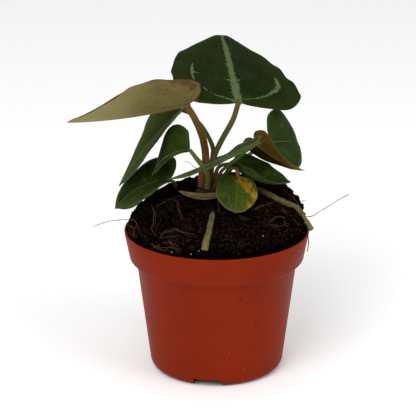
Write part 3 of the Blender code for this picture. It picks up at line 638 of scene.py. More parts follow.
def midrib_frames(blade, along):
    """Place, left direction and up direction of the midrib at each distance along it."""
    first, last = min(along.min(), 0.0), max(along.max(), blade.length)
    steps = np.union1d(np.linspace(first, 0, 9), np.linspace(0, last, 64))

    def angles(s):
        t = s / blade.length
        hook = blade.hook * np.clip((t - HOOK_START) / (1 - HOOK_START), 0, 1) ** 2
        rise = np.radians(blade.rise - blade.droop * t - hook)
        return rise, np.radians(blade.azimuth + blade.turn * t)

    def ahead(s):
        rise, heading = angles(s)
        return np.stack([np.cos(rise) * np.cos(heading), np.cos(rise) * np.sin(heading),
                         np.sin(rise)], -1)

    tangents = ahead(steps)
    moves = (tangents[1:] + tangents[:-1]) / 2 * np.diff(steps)[:, None]
    path = np.vstack([np.zeros(3), np.cumsum(moves, 0)])
    path -= [np.interp(0, steps, path[:, k]) for k in range(3)]
    place = np.stack([np.interp(along, steps, path[:, k]) for k in range(3)], -1)
    place = place + np.asarray(blade.base)
    rise, heading = angles(along)
    normal = np.stack([-np.sin(rise) * np.cos(heading), -np.sin(rise) * np.sin(heading),
                       np.cos(rise)], -1)
    left = np.cross(normal, ahead(along))
    roll = np.radians(blade.roll + blade.twist * np.clip(along / blade.length, 0, 1))[..., None]
    cos, sin = np.cos(roll), np.sin(roll)
    return place, left * cos + normal * sin, normal * cos - left * sin


def bend(blade, side, across, along):
    """Points in space for flat points of one half; side is 1 on the left and -1 on the right."""
    half_width, fold, curl = ((blade.left, blade.fold_left, blade.curl_left) if side > 0
                              else (blade.right, blade.fold_right, blade.curl_right))
    place, left, normal = midrib_frames(blade, along)
    fold = np.radians(fold + blade.opening * np.clip(along / blade.length, 0, 1))
    rate = np.radians(curl if abs(curl) > 0.1 else 0.1) / half_width
    outward = (np.sin(fold + rate * across) - np.sin(fold)) / rate
    upward = (np.cos(fold) - np.cos(fold + rate * across)) / rate
    return place + side * outward[..., None] * left + upward[..., None] * normal


def upward_normal(blade, side, across, along):
    """The direction out of the upper face at flat points of one half."""
    step = 0.2
    outward = bend(blade, side, across + step, along) - bend(blade, side, across, along)
    ahead = bend(blade, side, across, along + step) - bend(blade, side, across, along - step)
    normal = np.cross(ahead, outward) * side
    return normal / np.maximum(np.linalg.norm(normal, axis=-1, keepdims=True), 1e-9)


def vein_lines(blade, side, half_width, edge):
    """The main veins, then the side veins, of one half, flat and in millimetres."""
    own = blade.veins[0 if side > 0 else 1] if blade.veins else (RING_VEIN, LOBE_VEIN)
    main = [smooth_path(line, 24) * (half_width, blade.length, 1) for line in own]
    if blade.veins:
        return main, []
    far = edge[int(edge[:, 0].argmax()):]
    sides = []
    for start in SIDE_VEIN_STARTS:
        a = np.linspace(0, 1, 30)
        s = start + SIDE_VEIN_SLOPE * a * (1 + 0.2 * a)
        limit = np.interp(s * blade.length, far[:, 1], far[:, 0]) / half_width
        line = np.stack([a, s], -1)[a <= limit * 0.93]
        if len(line) > 2:
            sides.append(line * np.array([half_width, blade.length]))
    return main, sides


def half_of_blade(blade, side, outline, rows, columns):
    """Flat grid and shape of one half: surface, normals, and the numbers that its finish reads."""
    half_width = blade.left if side > 0 else blade.right
    edge = smooth_path(outline(blade, half_width), rows)
    start = np.stack([np.zeros(rows), blade.length * np.linspace(0, 1, rows) ** 1.3], -1)
    share = np.linspace(0, 1, columns + 1)[None, :, None]
    flat = start[:, None] * (1 - share) + edge[:, None] * share
    across, along = flat[..., 0], flat[..., 1]
    points = flat.reshape(-1, 2)
    shape, fraction = across.shape, along / blade.length

    def nearest(lines):
        away = [distance_to_line(points, line) for line in lines]
        return np.min(away or [np.full(len(points), NO_VEIN)], axis=0).reshape(shape)

    main, sides = vein_lines(blade, side, half_width, edge)
    vein, side_vein, margin = nearest(main), nearest(sides), nearest([edge])
    normal = upward_normal(blade, side, across, along)
    normal[0] = normal[0, 0]
    normal[-1] = normal[-1, 0]
    raised = np.minimum(np.minimum(vein, side_vein), across + 0.4)
    puff = blade.quilting * (1 - np.exp(-(raised / QUILT_REACH) ** 2)) * np.clip(margin / 5, 0, 1)
    wave = blade.wave * (across / half_width) ** 2
    wave = wave * np.sin(along * WAVE_RATE + 1.7 * side + blade.length)
    wave *= np.clip(fraction * 4 + 0.5, 0, 1) * np.clip((1 - fraction) * 4, 0, 1)
    near_tip = np.clip((fraction - CHANNEL_START) / 0.25, 0, 1)
    channel = blade.channel * np.exp(-(across / CHANNEL_REACH) ** 2) * near_tip
    surface = bend(blade, side, across, along)
    surface = surface + (puff + wave - channel)[..., None] * normal
    numbers = {"across": across * side, "along": fraction, "vein_mm": vein,
               "side_vein_mm": side_vein, "edge_mm": margin}
    for key, patches in (("yellow_mm", blade.yellow), ("brown_mm", blade.brown)):
        numbers[key] = np.full(shape, NO_PATCH)
        for a, s, radius in patches:
            away = np.hypot(across * side - a * half_width, along - s * blade.length) - radius
            numbers[key] = np.minimum(numbers[key], away)
    return surface, normal, numbers


def blade_mesh(name, blade, outline, grid):
    """A closed thin blade with a rib under its midrib, from its two bent halves."""
    rows, columns = grid
    left = half_of_blade(blade, 1, outline, rows, columns)
    right = half_of_blade(blade, -1, outline, rows, columns)
    centre_normal = left[1][:, :1] + right[1][:, :1]
    centre_normal /= np.linalg.norm(centre_normal, axis=-1, keepdims=True)
    surface = np.concatenate([right[0][:, :0:-1], left[0]], axis=1)
    normal = np.concatenate([right[1][:, :0:-1], centre_normal, left[1][:, 1:]], axis=1)
    normal[0] = centre_normal[0]
    normal[-1] = centre_normal[-1]
    numbers = {key: np.concatenate([right[2][key][:, :0:-1], left[2][key]], axis=1)
               for key in left[2]}
    across, margin = numbers["across"], numbers["edge_mm"]
    half = EDGE_THICKNESS + INNER_THICKNESS * np.clip(margin / 2, 0, 1)
    rib = RIB_HEIGHT * math.sqrt(blade.length) * (1.5 - numbers["along"])
    rib = rib * np.clip(margin / 1.5, 0, 1)
    ridge = rib * np.exp(-(across / RIB_REACH) ** 2)
    ridge = ridge + RIDGE_HEIGHT * np.exp(-(numbers["side_vein_mm"] / RIDGE_REACH) ** 2)
    groove = GROOVE_SHARE * rib * np.exp(-(across / GROOVE_REACH) ** 2)
    top = surface + (half - groove)[..., None] * normal
    bottom = surface - (half + ridge)[..., None] * normal
    wide = surface.shape[1]
    count = rows * wide
    faces = []
    for start in range(0, count - wide, wide):
        for a in range(start, start + wide - 1):
            b, c, d = a + wide, a + wide + 1, a + 1
            faces.append((a, b, c, d))
            faces.append((a + count, d + count, c + count, b + count))
        for a, flip in ((start, 1), (start + wide - 1, -1)):
            b = a + wide
            faces.append((a, a + count, b + count, b)[::flip])
    values = {key: np.tile(number.ravel(), 2) for key, number in numbers.items()}
    values["upper"] = np.repeat([1.0, 0.0], count)
    points = np.concatenate([top.reshape(-1, 3), bottom.reshape(-1, 3)])
    return finished_mesh(name, points, faces, values)


# Stems and roots

def tube_mesh(name, points, radii, lumps, lump_size, seed, sides=16, groove=0.0):
    """A closed tube along smooth points, with a radius at each, lumps, and a side groove."""
    path = np.asarray(points, float)
    tangent = np.gradient(path, axis=0)
    tangent /= np.linalg.norm(tangent, axis=1, keepdims=True)
    across = np.cross(tangent[0], (0.0, 1.0, 0.0))
    across /= np.linalg.norm(across)
    run = np.concatenate([[0], np.cumsum(np.linalg.norm(np.diff(path, axis=0), axis=1))])
    angle = np.linspace(0, math.tau, sides, endpoint=False)
    cos, sin = np.cos(angle), np.sin(angle)
    apart = Vector((seed, 0, 0))
    rings, rind, share = [], [], []
    for place, ahead, radius, far in zip(path, tangent, radii, run):
        across = across - ahead * (across @ ahead)
        across /= np.linalg.norm(across)
        spokes = cos[:, None] * across + sin[:, None] * np.cross(ahead, across)
        size = radius * (1 - groove * np.exp(-((angle - math.pi) / GROOVE_SPREAD) ** 2))
        size = size + lumps * np.array([noise.noise(Vector((place + spoke * radius) / lump_size)
                                                    + apart) for spoke in spokes])
        rings.append(place + spokes * size[:, None])
        rind.append(np.stack([cos * radius, sin * radius, np.full(sides, far)], -1))
        share.append(np.full(sides, far / run[-1]))
    points = np.vstack(rings + [path[:1], path[-1:]])
    numbers = {"rind": np.vstack(rind + [[[0, 0, 0]], [[0, 0, run[-1]]]]),
               "along": np.concatenate(share + [[0.0], [1.0]])}
    return finished_mesh(name, points, ring_faces(len(path), sides), numbers, sharp_angle=50)


def tapered(foot, top, share):
    """Radii that go from foot to top by the time that most of the length is run."""
    return foot + (top - foot) * np.minimum(1, share * TAPER_RATE)


def stem_mesh(name, stem, reach=None, rounded_end=False):
    """A leaf stalk, wider at its foot, with a slight knee under the blade that it reaches."""
    points = stem.points + (reach,) if reach else stem.points
    count = 12 * len(points)
    share = np.linspace(0, 1, count)
    radii = tapered(stem.foot, stem.top, share)
    radii = radii * (1 + stem.knee * np.exp(-((share - KNEE_PLACE) / KNEE_REACH) ** 2))
    radii[-3:] *= STEM_END
    if rounded_end:
        radii *= np.sqrt(np.clip((1.02 - share) / 0.25, 0, 1))
    return tube_mesh(name, smooth_path(points, count), radii, lumps=STEM_LUMPS, lump_size=4.0,
                     seed=stem.foot * 7, groove=STEM_GROOVE)


def soil_height(x, y):
    """Height of the heaped soil's surface above the point (x, y)."""
    reach = min(math.hypot(x, y) / SOIL_RADIUS, 1.0)
    facing = 0.5 + 0.5 * math.cos(math.atan2(y, x) - math.radians(STEEP_SIDE_ANGLE))
    power = GENTLE_POWER + ADDED_POWER * facing ** 2
    return POT_HEIGHT + HEAP_HEIGHT * (1 - reach ** power) ** HEAP_ROUNDING


def soil_levelness(x, y):
    """Cosine of the surface's slope at (x, y): 1 where it is level."""
    step = 1.0
    rise_x = (soil_height(x + step, y) - soil_height(x - step, y)) / (2 * step)
    rise_y = (soil_height(x, y + step) - soil_height(x, y - step)) / (2 * step)
    return 1 / math.sqrt(1 + rise_x ** 2 + rise_y ** 2)


def thick_root(name, places, foot, top, beyond):
    """A thick root that lies on the soil, then passes the places beyond it."""
    lift = max(foot, top) + THICK_ROOT_GAP
    points = [(x, y, soil_height(x, y) + lift / soil_levelness(x, y)) for x, y in places]
    points += beyond
    path = smooth_path(points, 16 * len(points))
    share = np.linspace(0, 1, len(path))
    radii = tapered(foot, top, share)
    radii = radii * np.clip(0.55 + share * 5, 0, 1)
    radii[-1] *= 0.8
    return tube_mesh(name, path, radii, lumps=THICK_ROOT_LUMPS, lump_size=2.2, seed=3.1, sides=20)


def thin_root(name, places, foot, top, beyond, wander, seed):
    """A thin root that lies on the soil and wanders a little."""
    points = [(x, y, soil_height(x, y) + THIN_ROOT_LIFT) for x, y in places]
    points += beyond
    path = smooth_path(points, 10 * len(points))
    for k, place in enumerate(path):
        near = Vector(place / WANDER_SIZE) + Vector((seed, 0, 0))
        path[k] = place + np.array(noise.noise_vector(near)) * wander
    radii = foot + (top - foot) * np.linspace(0, 1, len(path))
    return tube_mesh(name, path, radii, lumps=foot * 0.5, lump_size=1.5, seed=seed, sides=8)


# Pot, soil and crown

def turned_mesh(name, profile, segments, centre=(0.0, 0.0)):
    """A turned solid from an outline of (radius, height) that ends on the axis at both ends."""
    x, y = centre
    angles = np.linspace(0, math.tau, segments, endpoint=False)
    points = [(x + radius * math.cos(a), y + radius * math.sin(a), z)
              for radius, z in profile[1:-1] for a in angles]
    points += [(x, y, profile[0][1]), (x, y, profile[-1][1])]
    faces = ring_faces(len(profile) - 2, segments)
    return finished_mesh(name, points, faces, sharp_angle=POT_SHARP_ANGLE)


def body_radius(z):
    """The pot's outer radius at height z, between the foot's corner and the band."""
    return BODY_FOOT_RADIUS + (BODY_TOP_RADIUS - BODY_FOOT_RADIUS) * z / BODY_HEIGHT


def arc(centre_radius, centre_height, size, start, end, steps):
    """Points of a round corner between two angles, in degrees."""
    angles = np.radians(np.linspace(start, end, steps))
    return [(centre_radius + size * math.cos(a), centre_height + size * math.sin(a))
            for a in angles]


def pot_profile():
    """The whole outline of the pot, from under the floor, round the foot and rim, to inside."""
    slope = math.degrees(math.atan2(BODY_TOP_RADIUS - BODY_FOOT_RADIUS, BODY_HEIGHT))
    centre = body_radius(FOOT_CORNER) - FOOT_CORNER * FOOT_TUCK
    skirt = FOOT_CORNER - WALL
    start = math.degrees(math.asin((FLOOR_UNDERSIDE - FOOT_CORNER) / skirt))
    out, up, down = 0.5, 0.3, 0.4
    underside = [(0, FLOOR_UNDERSIDE)] + arc(centre, FOOT_CORNER, skirt, start, -90, 8)
    lip = [(centre - FOOT_LIP, WALL), (centre - FOOT_LIP, 0)]
    foot = arc(centre, FOOT_CORNER, FOOT_CORNER, -90, -slope, 14)
    chamfer = [(BODY_TOP_RADIUS, BODY_HEIGHT - down), (BODY_TOP_RADIUS + out, BODY_HEIGHT + up),
               (BAND_FOOT_RADIUS - out, BAND_BOTTOM - up), (BAND_FOOT_RADIUS, BAND_BOTTOM + out)]
    rim = [(RIM_RADIUS - 0.05, POT_HEIGHT - 1.6), (RIM_RADIUS, POT_HEIGHT - 0.7)]
    rim += arc(RIM_RADIUS - RIM_ROUNDING, POT_HEIGHT - RIM_ROUNDING, RIM_ROUNDING, 10, 170, 7)
    bevel = POT_FLOOR + FLOOR_BEVEL
    inside = [(RIM_RADIUS - WALL, POT_HEIGHT - 0.7), (BAND_FOOT_RADIUS - WALL, BAND_BOTTOM + out),
              (BODY_TOP_RADIUS - WALL, BODY_HEIGHT + out), (body_radius(bevel) - WALL, bevel),
              (body_radius(POT_FLOOR) - WALL - FLOOR_BEVEL, POT_FLOOR), (0, POT_FLOOR)]
    return underside + lip + foot + chamfer + rim + inside


def take_away(item, cutters):
    """Cuts the cutters' shapes out of the item and removes them."""
    for cutter in cutters:
        step = item.modifiers.new("cut", "BOOLEAN")
        step.operation = "DIFFERENCE"
        step.object = cutter
    shape = evaluated_mesh(item)
    item.modifiers.clear()
    item.data = shape
    shape.shade_smooth()
    shape.set_sharp_from_angle(angle=math.radians(POT_SHARP_ANGLE))
    for cutter in cutters:
        bpy.data.objects.remove(cutter)


def notch_cutter(angle):
    """The block that leaves one notch in the foot, with rounded upper corners."""
    depth, below = 16.0, 4.0
    middle = body_radius(FOOT_CORNER) - FOOT_CORNER - FOOT_LIP - 1.0 + depth / 2
    half, shoulder = NOTCH_WIDTH / 2, NOTCH_HEIGHT - NOTCH_CORNER
    outline = [(-half, -below), (half, -below)]
    outline += arc(half - NOTCH_CORNER, shoulder, NOTCH_CORNER, 0, 90, 5)
    outline += arc(NOTCH_CORNER - half, shoulder, NOTCH_CORNER, 90, 180, 5)
    turn = math.radians(angle)
    cos, sin = math.cos(turn), math.sin(turn)
    points = [(reach * cos - side * sin, reach * sin + side * cos, z)
              for reach in (middle - depth / 2, middle + depth / 2) for side, z in outline]
    count = len(outline)
    faces = [tuple(range(count)), tuple(range(2 * count - 1, count - 1, -1))]
    faces += [(k, k + count, (k + 1) % count + count, (k + 1) % count) for k in range(count)]
    return finished_mesh("notch", points, faces, smooth=False)


def drain_cutter(k):
    """The rod that leaves one drain hole in the floor."""
    turn = math.tau * (k + 0.5) / DRAIN_COUNT
    low, high = FLOOR_UNDERSIDE - 2, POT_FLOOR + 2
    profile = [(0, low), (DRAIN_RADIUS, low), (DRAIN_RADIUS, high), (0, high)]
    centre = (DRAIN_RING * math.cos(turn), DRAIN_RING * math.sin(turn))
    return turned_mesh("drain", profile, 32, centre)


def pot_mesh():
    """The pot, with its notches and drain holes cut."""
    pot = turned_mesh("terracotta_pot", pot_profile(), POT_SEGMENTS)
    take_away(pot, [notch_cutter(angle) for angle in NOTCH_ANGLES]
              + [drain_cutter(k) for k in range(DRAIN_COUNT)])
    return pot


def soil_mesh():
    """The heap's lumpy surface, closed below by the pot's inside shape."""
    rings = SOIL_RINGS
    angles = [math.tau * k / SOIL_SEGMENTS for k in range(SOIL_SEGMENTS)]
    points = []
    for ring in range(1, rings + 1):
        reach = math.sin(math.pi / 2 * ring / rings) * SOIL_RADIUS
        fade = min(1.0, (SOIL_RADIUS - reach) / LUMP_FADE)
        for angle in angles:
            x, y = reach * math.cos(angle), reach * math.sin(angle)
            z = soil_height(x, y)
            here = Vector((x, y, z))
            lump = sum(height * noise.noise(here / size) for height, size in SOIL_LUMPS)
            points.append((x, y, z + (lump - SOIL_SINK) * fade))
    bevel = POT_FLOOR + FLOOR_BEVEL
    wall = [(POT_HEIGHT - 0.5, RIM_RADIUS), (BAND_BOTTOM + 0.5, BAND_FOOT_RADIUS),
            (BODY_HEIGHT + 0.5, BODY_TOP_RADIUS), (bevel, body_radius(bevel)),
            (SOIL_FOOT, body_radius(POT_FLOOR) - FLOOR_BEVEL)]
    for z, radius in wall:
        reach = radius - WALL - SOIL_CLEARANCE
        points += [(reach * math.cos(angle), reach * math.sin(angle), z) for angle in angles]
    points += [(0, 0, soil_height(0, 0) - 0.5), (0, 0, SOIL_FOOT)]
    return finished_mesh("heaped_soil", points, ring_faces(rings + len(wall), SOIL_SEGMENTS),
                         sharp_angle=80)


def perlite_mesh():
    """The few white mineral specks on the soil, in three sizes."""
    form = bmesh.new()
    for k, (x, y) in enumerate(PERLITE):
        place = Matrix.Translation((x, y, soil_height(x, y) + PERLITE_LIFT))
        bmesh.ops.create_icosphere(form, subdivisions=1, radius=PERLITE_RADIUS + 0.12 * (k % 3),
                                   matrix=place)
    points = [tuple(corner.co) for corner in form.verts]
    faces = [tuple(corner.index for corner in face.verts) for face in form.faces]
    form.free()
    return finished_mesh("white_specks", points, faces)


def crown_mesh():
    """The short trunk, ringed by the scars of old leaves."""
    foot = CROWN_TOP - CROWN_DEPTH
    points, rind = [], []
    for i in range(CROWN_RINGS):
        share = i / (CROWN_RINGS - 1)
        z = foot + CROWN_DEPTH * share
        scar = sum(height * math.sin(z * rate + start) for height, rate, start in CROWN_SCARS)
        body = CROWN_RADIUS * (0.88 + 0.06 * math.sin(z * 0.9)) + scar
        body *= min(1.0, 0.62 + 3 * share) * (1 - 0.10 * max(0.0, share - 0.85) / 0.15)
        for k in range(CROWN_SIDES):
            angle = math.tau * k / CROWN_SIDES
            x, y = math.cos(angle), math.sin(angle)
            lump = noise.noise(Vector((x * 2.4, y * 2.4, z / 3.2)))
            radius = body * (1 + CROWN_ROUGHNESS * lump)
            points.append((CROWN_X + radius * x, CROWN_Y + radius * y, z))
            rind.append((x * 8, y * 8, z))
    for z in (foot, CROWN_TOP):
        points.append((CROWN_X, CROWN_Y, z))
        rind.append((0, 0, z))
    numbers = {"rind": rind, "along": [z / 100 for _, _, z in points]}
    faces = ring_faces(CROWN_RINGS, CROWN_SIDES)
    return finished_mesh("ringed_crown", points, faces, numbers)


# Node wiring

class Signal:
    """A node's output. Adding, subtracting or multiplying it adds the node that does so."""

    def __init__(self, wiring, socket):
        self.wiring, self.socket = wiring, socket

    def __add__(self, other):
        return self.wiring.maths("ADD", self, other)

    def __sub__(self, other):
        return self.wiring.maths("SUBTRACT", self, other)

    def __rsub__(self, other):
        return self.wiring.maths("SUBTRACT", other, self)

    def __mul__(self, other):
        return self.wiring.maths("MULTIPLY", self, other)


class Wiring:
    """Adds nodes to a tree and joins them. A value is a number, a colour or a signal."""

    def __init__(self, tree):
        self.tree = tree

    def put(self, kind, settings=None, **values):
        node = self.tree.nodes.new(kind)
        for key, value in (settings or {}).items():
            setattr(node, key, value)
        for key, value in values.items():
            self.feed(node.inputs[key.replace("_", " ")], value)
        return node

    def feed(self, socket, value):
        if isinstance(value, Signal):
            self.tree.links.new(value.socket, socket)
        elif socket.type == "RGBA" and len(value) == 3:
            socket.default_value = (*value, 1.0)
        else:
            socket.default_value = value

    def run(self, kind, output=0, fed=(), settings=None, **values):
        """A new node's output, with the values fed to its first inputs in order, or by name."""
        node = self.put(kind, settings, **values)
        for index, value in enumerate(fed):
            self.feed(node.inputs[index], value)
        return Signal(self, node.outputs[output])

    def outputs(self, node):
        return {socket.name: Signal(self, socket) for socket in node.outputs}

    def place(self):
        return self.run("ShaderNodeTexCoord", "Object")

    def number(self, name, output="Fac"):
        return self.run("ShaderNodeAttribute", output, settings={"attribute_name": name})

    def maths(self, operation, a, b=0.0):
        return self.run("ShaderNodeMath", fed=(a, b), settings={"operation": operation})

    def vector(self, operation, a, b):
        return self.run("ShaderNodeVectorMath", fed=(a, b), settings={"operation": operation})

    def blend(self, share, a, b, kind="MIX"):
        node = self.put("ShaderNodeMix", {"data_type": "RGBA", "blend_type": kind,
                                          "clamp_factor": True})
        for index, value in ((0, share), (6, a), (7, b)):
            self.feed(node.inputs[index], value)
        return Signal(self, node.outputs[2])

    def between(self, value, low, high, start=0.0, end=1.0):
        """value's smooth rise from start at low to end at high."""
        return self.run("ShaderNodeMapRange", fed=(value, low, high, start, end),
                        settings={"interpolation_type": "SMOOTHSTEP"})

    def grain(self, vector, scale, detail=2.0, roughness=0.5):
        """Noise of so many waves to one unit of the vector."""
        return self.run("ShaderNodeTexNoise", "Fac", settings={"noise_dimensions": "3D"},
                        Vector=vector, Scale=scale, Detail=detail, Roughness=roughness)


def new_group(name, colours, numbers, shade, *outputs):
    """An empty shader node group; returns its tree, wiring, inputs by name and output node.

    colours names its colour inputs, which start at the grey given by shade, and numbers gives
    the value at which each number input starts.
    """
    tree = bpy.data.node_groups.new(name, "ShaderNodeTree")

    def socket(title, direction, kind, value=None):
        made = tree.interface.new_socket(name=title, in_out=direction, socket_type=kind)
        if value is not None:
            made.default_value = value

    for title in colours:
        socket(title, "INPUT", "NodeSocketColor", (shade, shade, shade, 1.0))
    for title, value in numbers.items():
        socket(title, "INPUT", "NodeSocketFloat", value)
    socket("Colour", "OUTPUT", "NodeSocketColor")
    for title in outputs:
        socket(title, "OUTPUT", "NodeSocketFloat")
    entry = tree.nodes.new("NodeGroupInput")
    leave = tree.nodes.new("NodeGroupOutput")
    w = Wiring(tree)
    return tree, w, w.outputs(entry), leave


def leaf_face_group():
    """Colours one side of a blade from its distances to the midrib, the veins and the edge."""
    colours = ("Left", "Right", "Edge", "Vein", "Rib", "Tip", "Yellow", "Brown")
    sizes = ("Edge Width", "Vein Width", "Vein Strength", "Side Strength", "Rib Width", "Rib End",
             "Tip Start", "Ragged", "Tip Fade", "Speckle", "Mottle")
    tree, w, given, leave = new_group("leaf_face", colours, dict.fromkeys(sizes, 0.5), 0.1, "Veins")
    place = w.place()
    broad = w.grain(place, 75.0, 3.0)
    middle = w.grain(place, 420.0, 3.0, 0.6)
    fine = w.grain(place, 1700.0, 2.0, 0.6)
    across, along = w.number("across"), w.number("along")

    # The two halves, whose colours differ by painted light and shade on some blades, the margin,
    # and clouds of the margin's colour
    colour = w.blend(w.between(across, -0.25, 0.25), given["Right"], given["Left"])
    uneven = (broad - 0.5) * 9.0
    edge_width = given["Edge Width"]
    edge_place = w.number("edge_mm") + uneven * (edge_width * 0.08)
    colour = w.blend(w.between(edge_place, edge_width, edge_width * 0.15), colour, given["Edge"])
    clouds = w.between(w.grain(place, 130.0, 4.0, 0.6), 0.46, 0.68)
    colour = w.blend(clouds * given["Mottle"], colour, given["Edge"])

    # Yellowed and browned patches, with wandering borders
    wander = (w.grain(place, 330.0, 4.0, 0.65) - 0.5) * 12.0
    yellowed = w.between(w.number("yellow_mm") + wander, 2.4, -2.0)
    colour = w.blend(yellowed * PATCH_STRENGTH, colour, given["Yellow"])
    browned = w.between(w.number("brown_mm") + wander * 0.5, 1.0, -0.8)
    colour = w.blend(browned * PATCH_STRENGTH, colour, given["Brown"])

    # Light and dark grain, with streaks that run along the blade
    shade = w.between(middle, 0.25, 0.75, 0.86, 1.12) * w.between(fine, 0.25, 0.75, 0.94, 1.05)
    shade = shade * w.between(broad, 0.3, 0.7, 0.86, 1.12)
    flat = w.run("ShaderNodeCombineXYZ", X=across, Y=along * 6.0)
    shade = shade * w.between(w.grain(flat, 0.9, 3.0, 0.6), 0.3, 0.7, 0.88, 1.10)
    colour = w.blend(1.0, colour, shade, "MULTIPLY")

    # Veins
    rough = (middle - 0.5) + (w.grain(place, 900.0, 3.0, 0.7) - 0.5)
    ragged = rough * (given["Ragged"] * 7.0)
    width = given["Vein Width"]
    vein_place = w.number("vein_mm") + ragged * (width * 0.4)
    vein = w.between(vein_place, width * 1.25, width * 0.35) * given["Vein Strength"]
    side_width = width * 0.75
    side_place = w.number("side_vein_mm") + ragged * side_width
    side_vein = w.between(side_place, side_width * 1.3, side_width * 0.2) * given["Side Strength"]
    veins = w.maths("MAXIMUM", vein, side_vein)
    colour = w.blend(veins, colour, given["Vein"])

    # Midrib, tip and specks
    half = given["Rib Width"] + along * (given["Rib End"] - given["Rib Width"])
    from_rib = w.maths("ABSOLUTE", across) + ragged * (half * 0.5)
    rib = w.between(from_rib, half * 1.15, half * 0.8)
    colour = w.blend(rib * RIB_STRENGTH, colour, given["Rib"])
    tip_start = given["Tip Start"]
    tip = w.between(along + uneven * 0.01, tip_start, tip_start + given["Tip Fade"])
    colour = w.blend(tip * w.between(fine, 0.2, 0.8, 0.85, 1.0), colour, given["Tip"])
    specks = w.between(w.grain(place, 1300.0, 1.0, 0.5), 0.60, 0.68) * given["Speckle"]
    colour = w.blend(specks, colour, given["Edge"])
    w.feed(leave.inputs["Colour"], colour)
    w.feed(leave.inputs["Veins"], w.maths("MAXIMUM", veins, rib))
    return tree


def rind_group():
    """Colours a stalk or root along its length, with streaks and flecks."""
    tree, w, given, leave = new_group("rind", ("Low", "Middle", "High", "Fleck"),
                                      {"Fleck Amount": 0.2, "Streak Size": 1.2}, 0.1, "Height")
    rind = w.number("rind", "Vector")
    stretched = w.run("ShaderNodeMapping", Vector=rind, Scale=(1.0, 1.0, 0.12))
    streaks = w.grain(stretched, given["Streak Size"], 3.0, 0.6)
    flecks = w.grain(rind, 1.5, 3.0, 0.7)
    blush = w.grain(w.place(), 180.0, 2.0)
    position = w.number("along") + (blush - 0.5) * 0.25
    colour = w.blend(w.between(position, 0.0, 0.45), given["Low"], given["Middle"])
    colour = w.blend(w.between(position, 0.6, 0.98), colour, given["High"])
    colour = w.blend(0.7, colour, w.between(streaks, 0.25, 0.75, 0.60, 1.30), "MULTIPLY")
    limit = 0.75 - given["Fleck Amount"] * 0.5
    fleck = w.between(flecks, limit, limit + 0.08)
    colour = w.blend(fleck * 0.8, colour, given["Fleck"])
    w.feed(leave.inputs["Colour"], colour)
    w.feed(leave.inputs["Height"], streaks + fleck * 0.6)
    return tree


def earth_group():
    """Dark crumbly earth with brown grains, which on the crumbs are also painted glints."""
    tree, w, given, leave = new_group("crumbly_earth", ("Dark", "Brown", "Grain"),
                                      {"Grain Amount": 0.2}, 0.01, "Height")
    place = w.place()
    lumps = w.grain(place, 560.0, 4.0, 0.7)
    flecks = w.grain(place, 900.0, 3.0, 0.7)
    colour = w.blend(w.between(lumps, 0.44, 0.62), given["Dark"], given["Brown"])
    patches = w.between(w.grain(place, 60.0, 3.0), 0.35, 0.65, 0.45, 1.15)
    colour = w.blend(1.0, colour, patches, "MULTIPLY")
    limit = 0.80 - given["Grain Amount"] * 0.5
    colour = w.blend(w.between(flecks, limit, limit + 0.06), colour, given["Grain"])
    w.feed(leave.inputs["Colour"], colour)
    w.feed(leave.inputs["Height"], lumps + flecks * 0.5)
    return tree


# Materials

def new_material(name, **values):
    """A material, its Principled shader with the given input values, and its wiring."""
    made = bpy.data.materials.new(name)
    made.use_nodes = True
    shader = made.node_tree.nodes["Principled BSDF"]
    w = Wiring(made.node_tree)
    for key, value in values.items():
        w.feed(shader.inputs[key.replace("_", " ")], value)
    return made, shader, w


def use_group(w, tree, **values):
    """The outputs of a node group that is given these values."""
    node = w.put("ShaderNodeGroup", {"node_tree": tree})
    for key, value in values.items():
        w.feed(node.inputs[key.replace("_", " ").title()], value)
    return w.outputs(node)


def finish_surface(w, shader, colour, height, distance):
    """Gives a shader its colour and bumps of the given height in metres."""
    w.feed(shader.inputs["Base Color"], colour)
    w.feed(shader.inputs["Normal"], w.run("ShaderNodeBump", Height=height, Distance=distance))


def leaf_material(name, upper, lower, gloss=LEAF_GLOSS):
    """A blade's finish: one side's colours above, the other's below, and a velvety grain."""
    made, shader, w = new_material(f"{name}_skin", Specular_IOR_Level=gloss)
    top = use_group(w, GROUPS["leaf"], **vars(upper))
    under = use_group(w, GROUPS["leaf"], **vars(lower))
    colour = w.blend(w.number("upper"), under["Colour"], top["Colour"])
    grain = w.grain(w.place(), 1500.0, 2.0, 0.6)
    w.feed(shader.inputs["Roughness"], w.between(grain, 0.2, 0.8, 0.42, 0.62))
    veins = w.maths("MAXIMUM", top["Veins"], under["Veins"])
    finish_surface(w, shader, colour, grain * 0.5 - veins * 0.5, 0.18 * MM)
    return made


def rind_material(name, roughness=0.5, depth=0.12 * MM, **colours):
    """A stalk's or root's finish."""
    made, shader, w = new_material(name, Roughness=roughness, Specular_IOR_Level=RIND_GLOSS)
    rind = use_group(w, GROUPS["rind"], **{**RIND_GRAIN, **colours})
    finish_surface(w, shader, rind["Colour"], rind["Height"], depth)
    return made


def earth_material(name):
    """The finish of the soil or of something in it."""
    made, shader, w = new_material(name, Roughness=0.95, Specular_IOR_Level=0.0)
    dark, brown, grain, amount = EARTHS[name]
    earth = use_group(w, GROUPS["earth"], dark=dark, brown=brown, grain=grain, grain_amount=amount)
    finish_surface(w, shader, earth["Colour"], earth["Height"], 0.6 * MM)
    return made


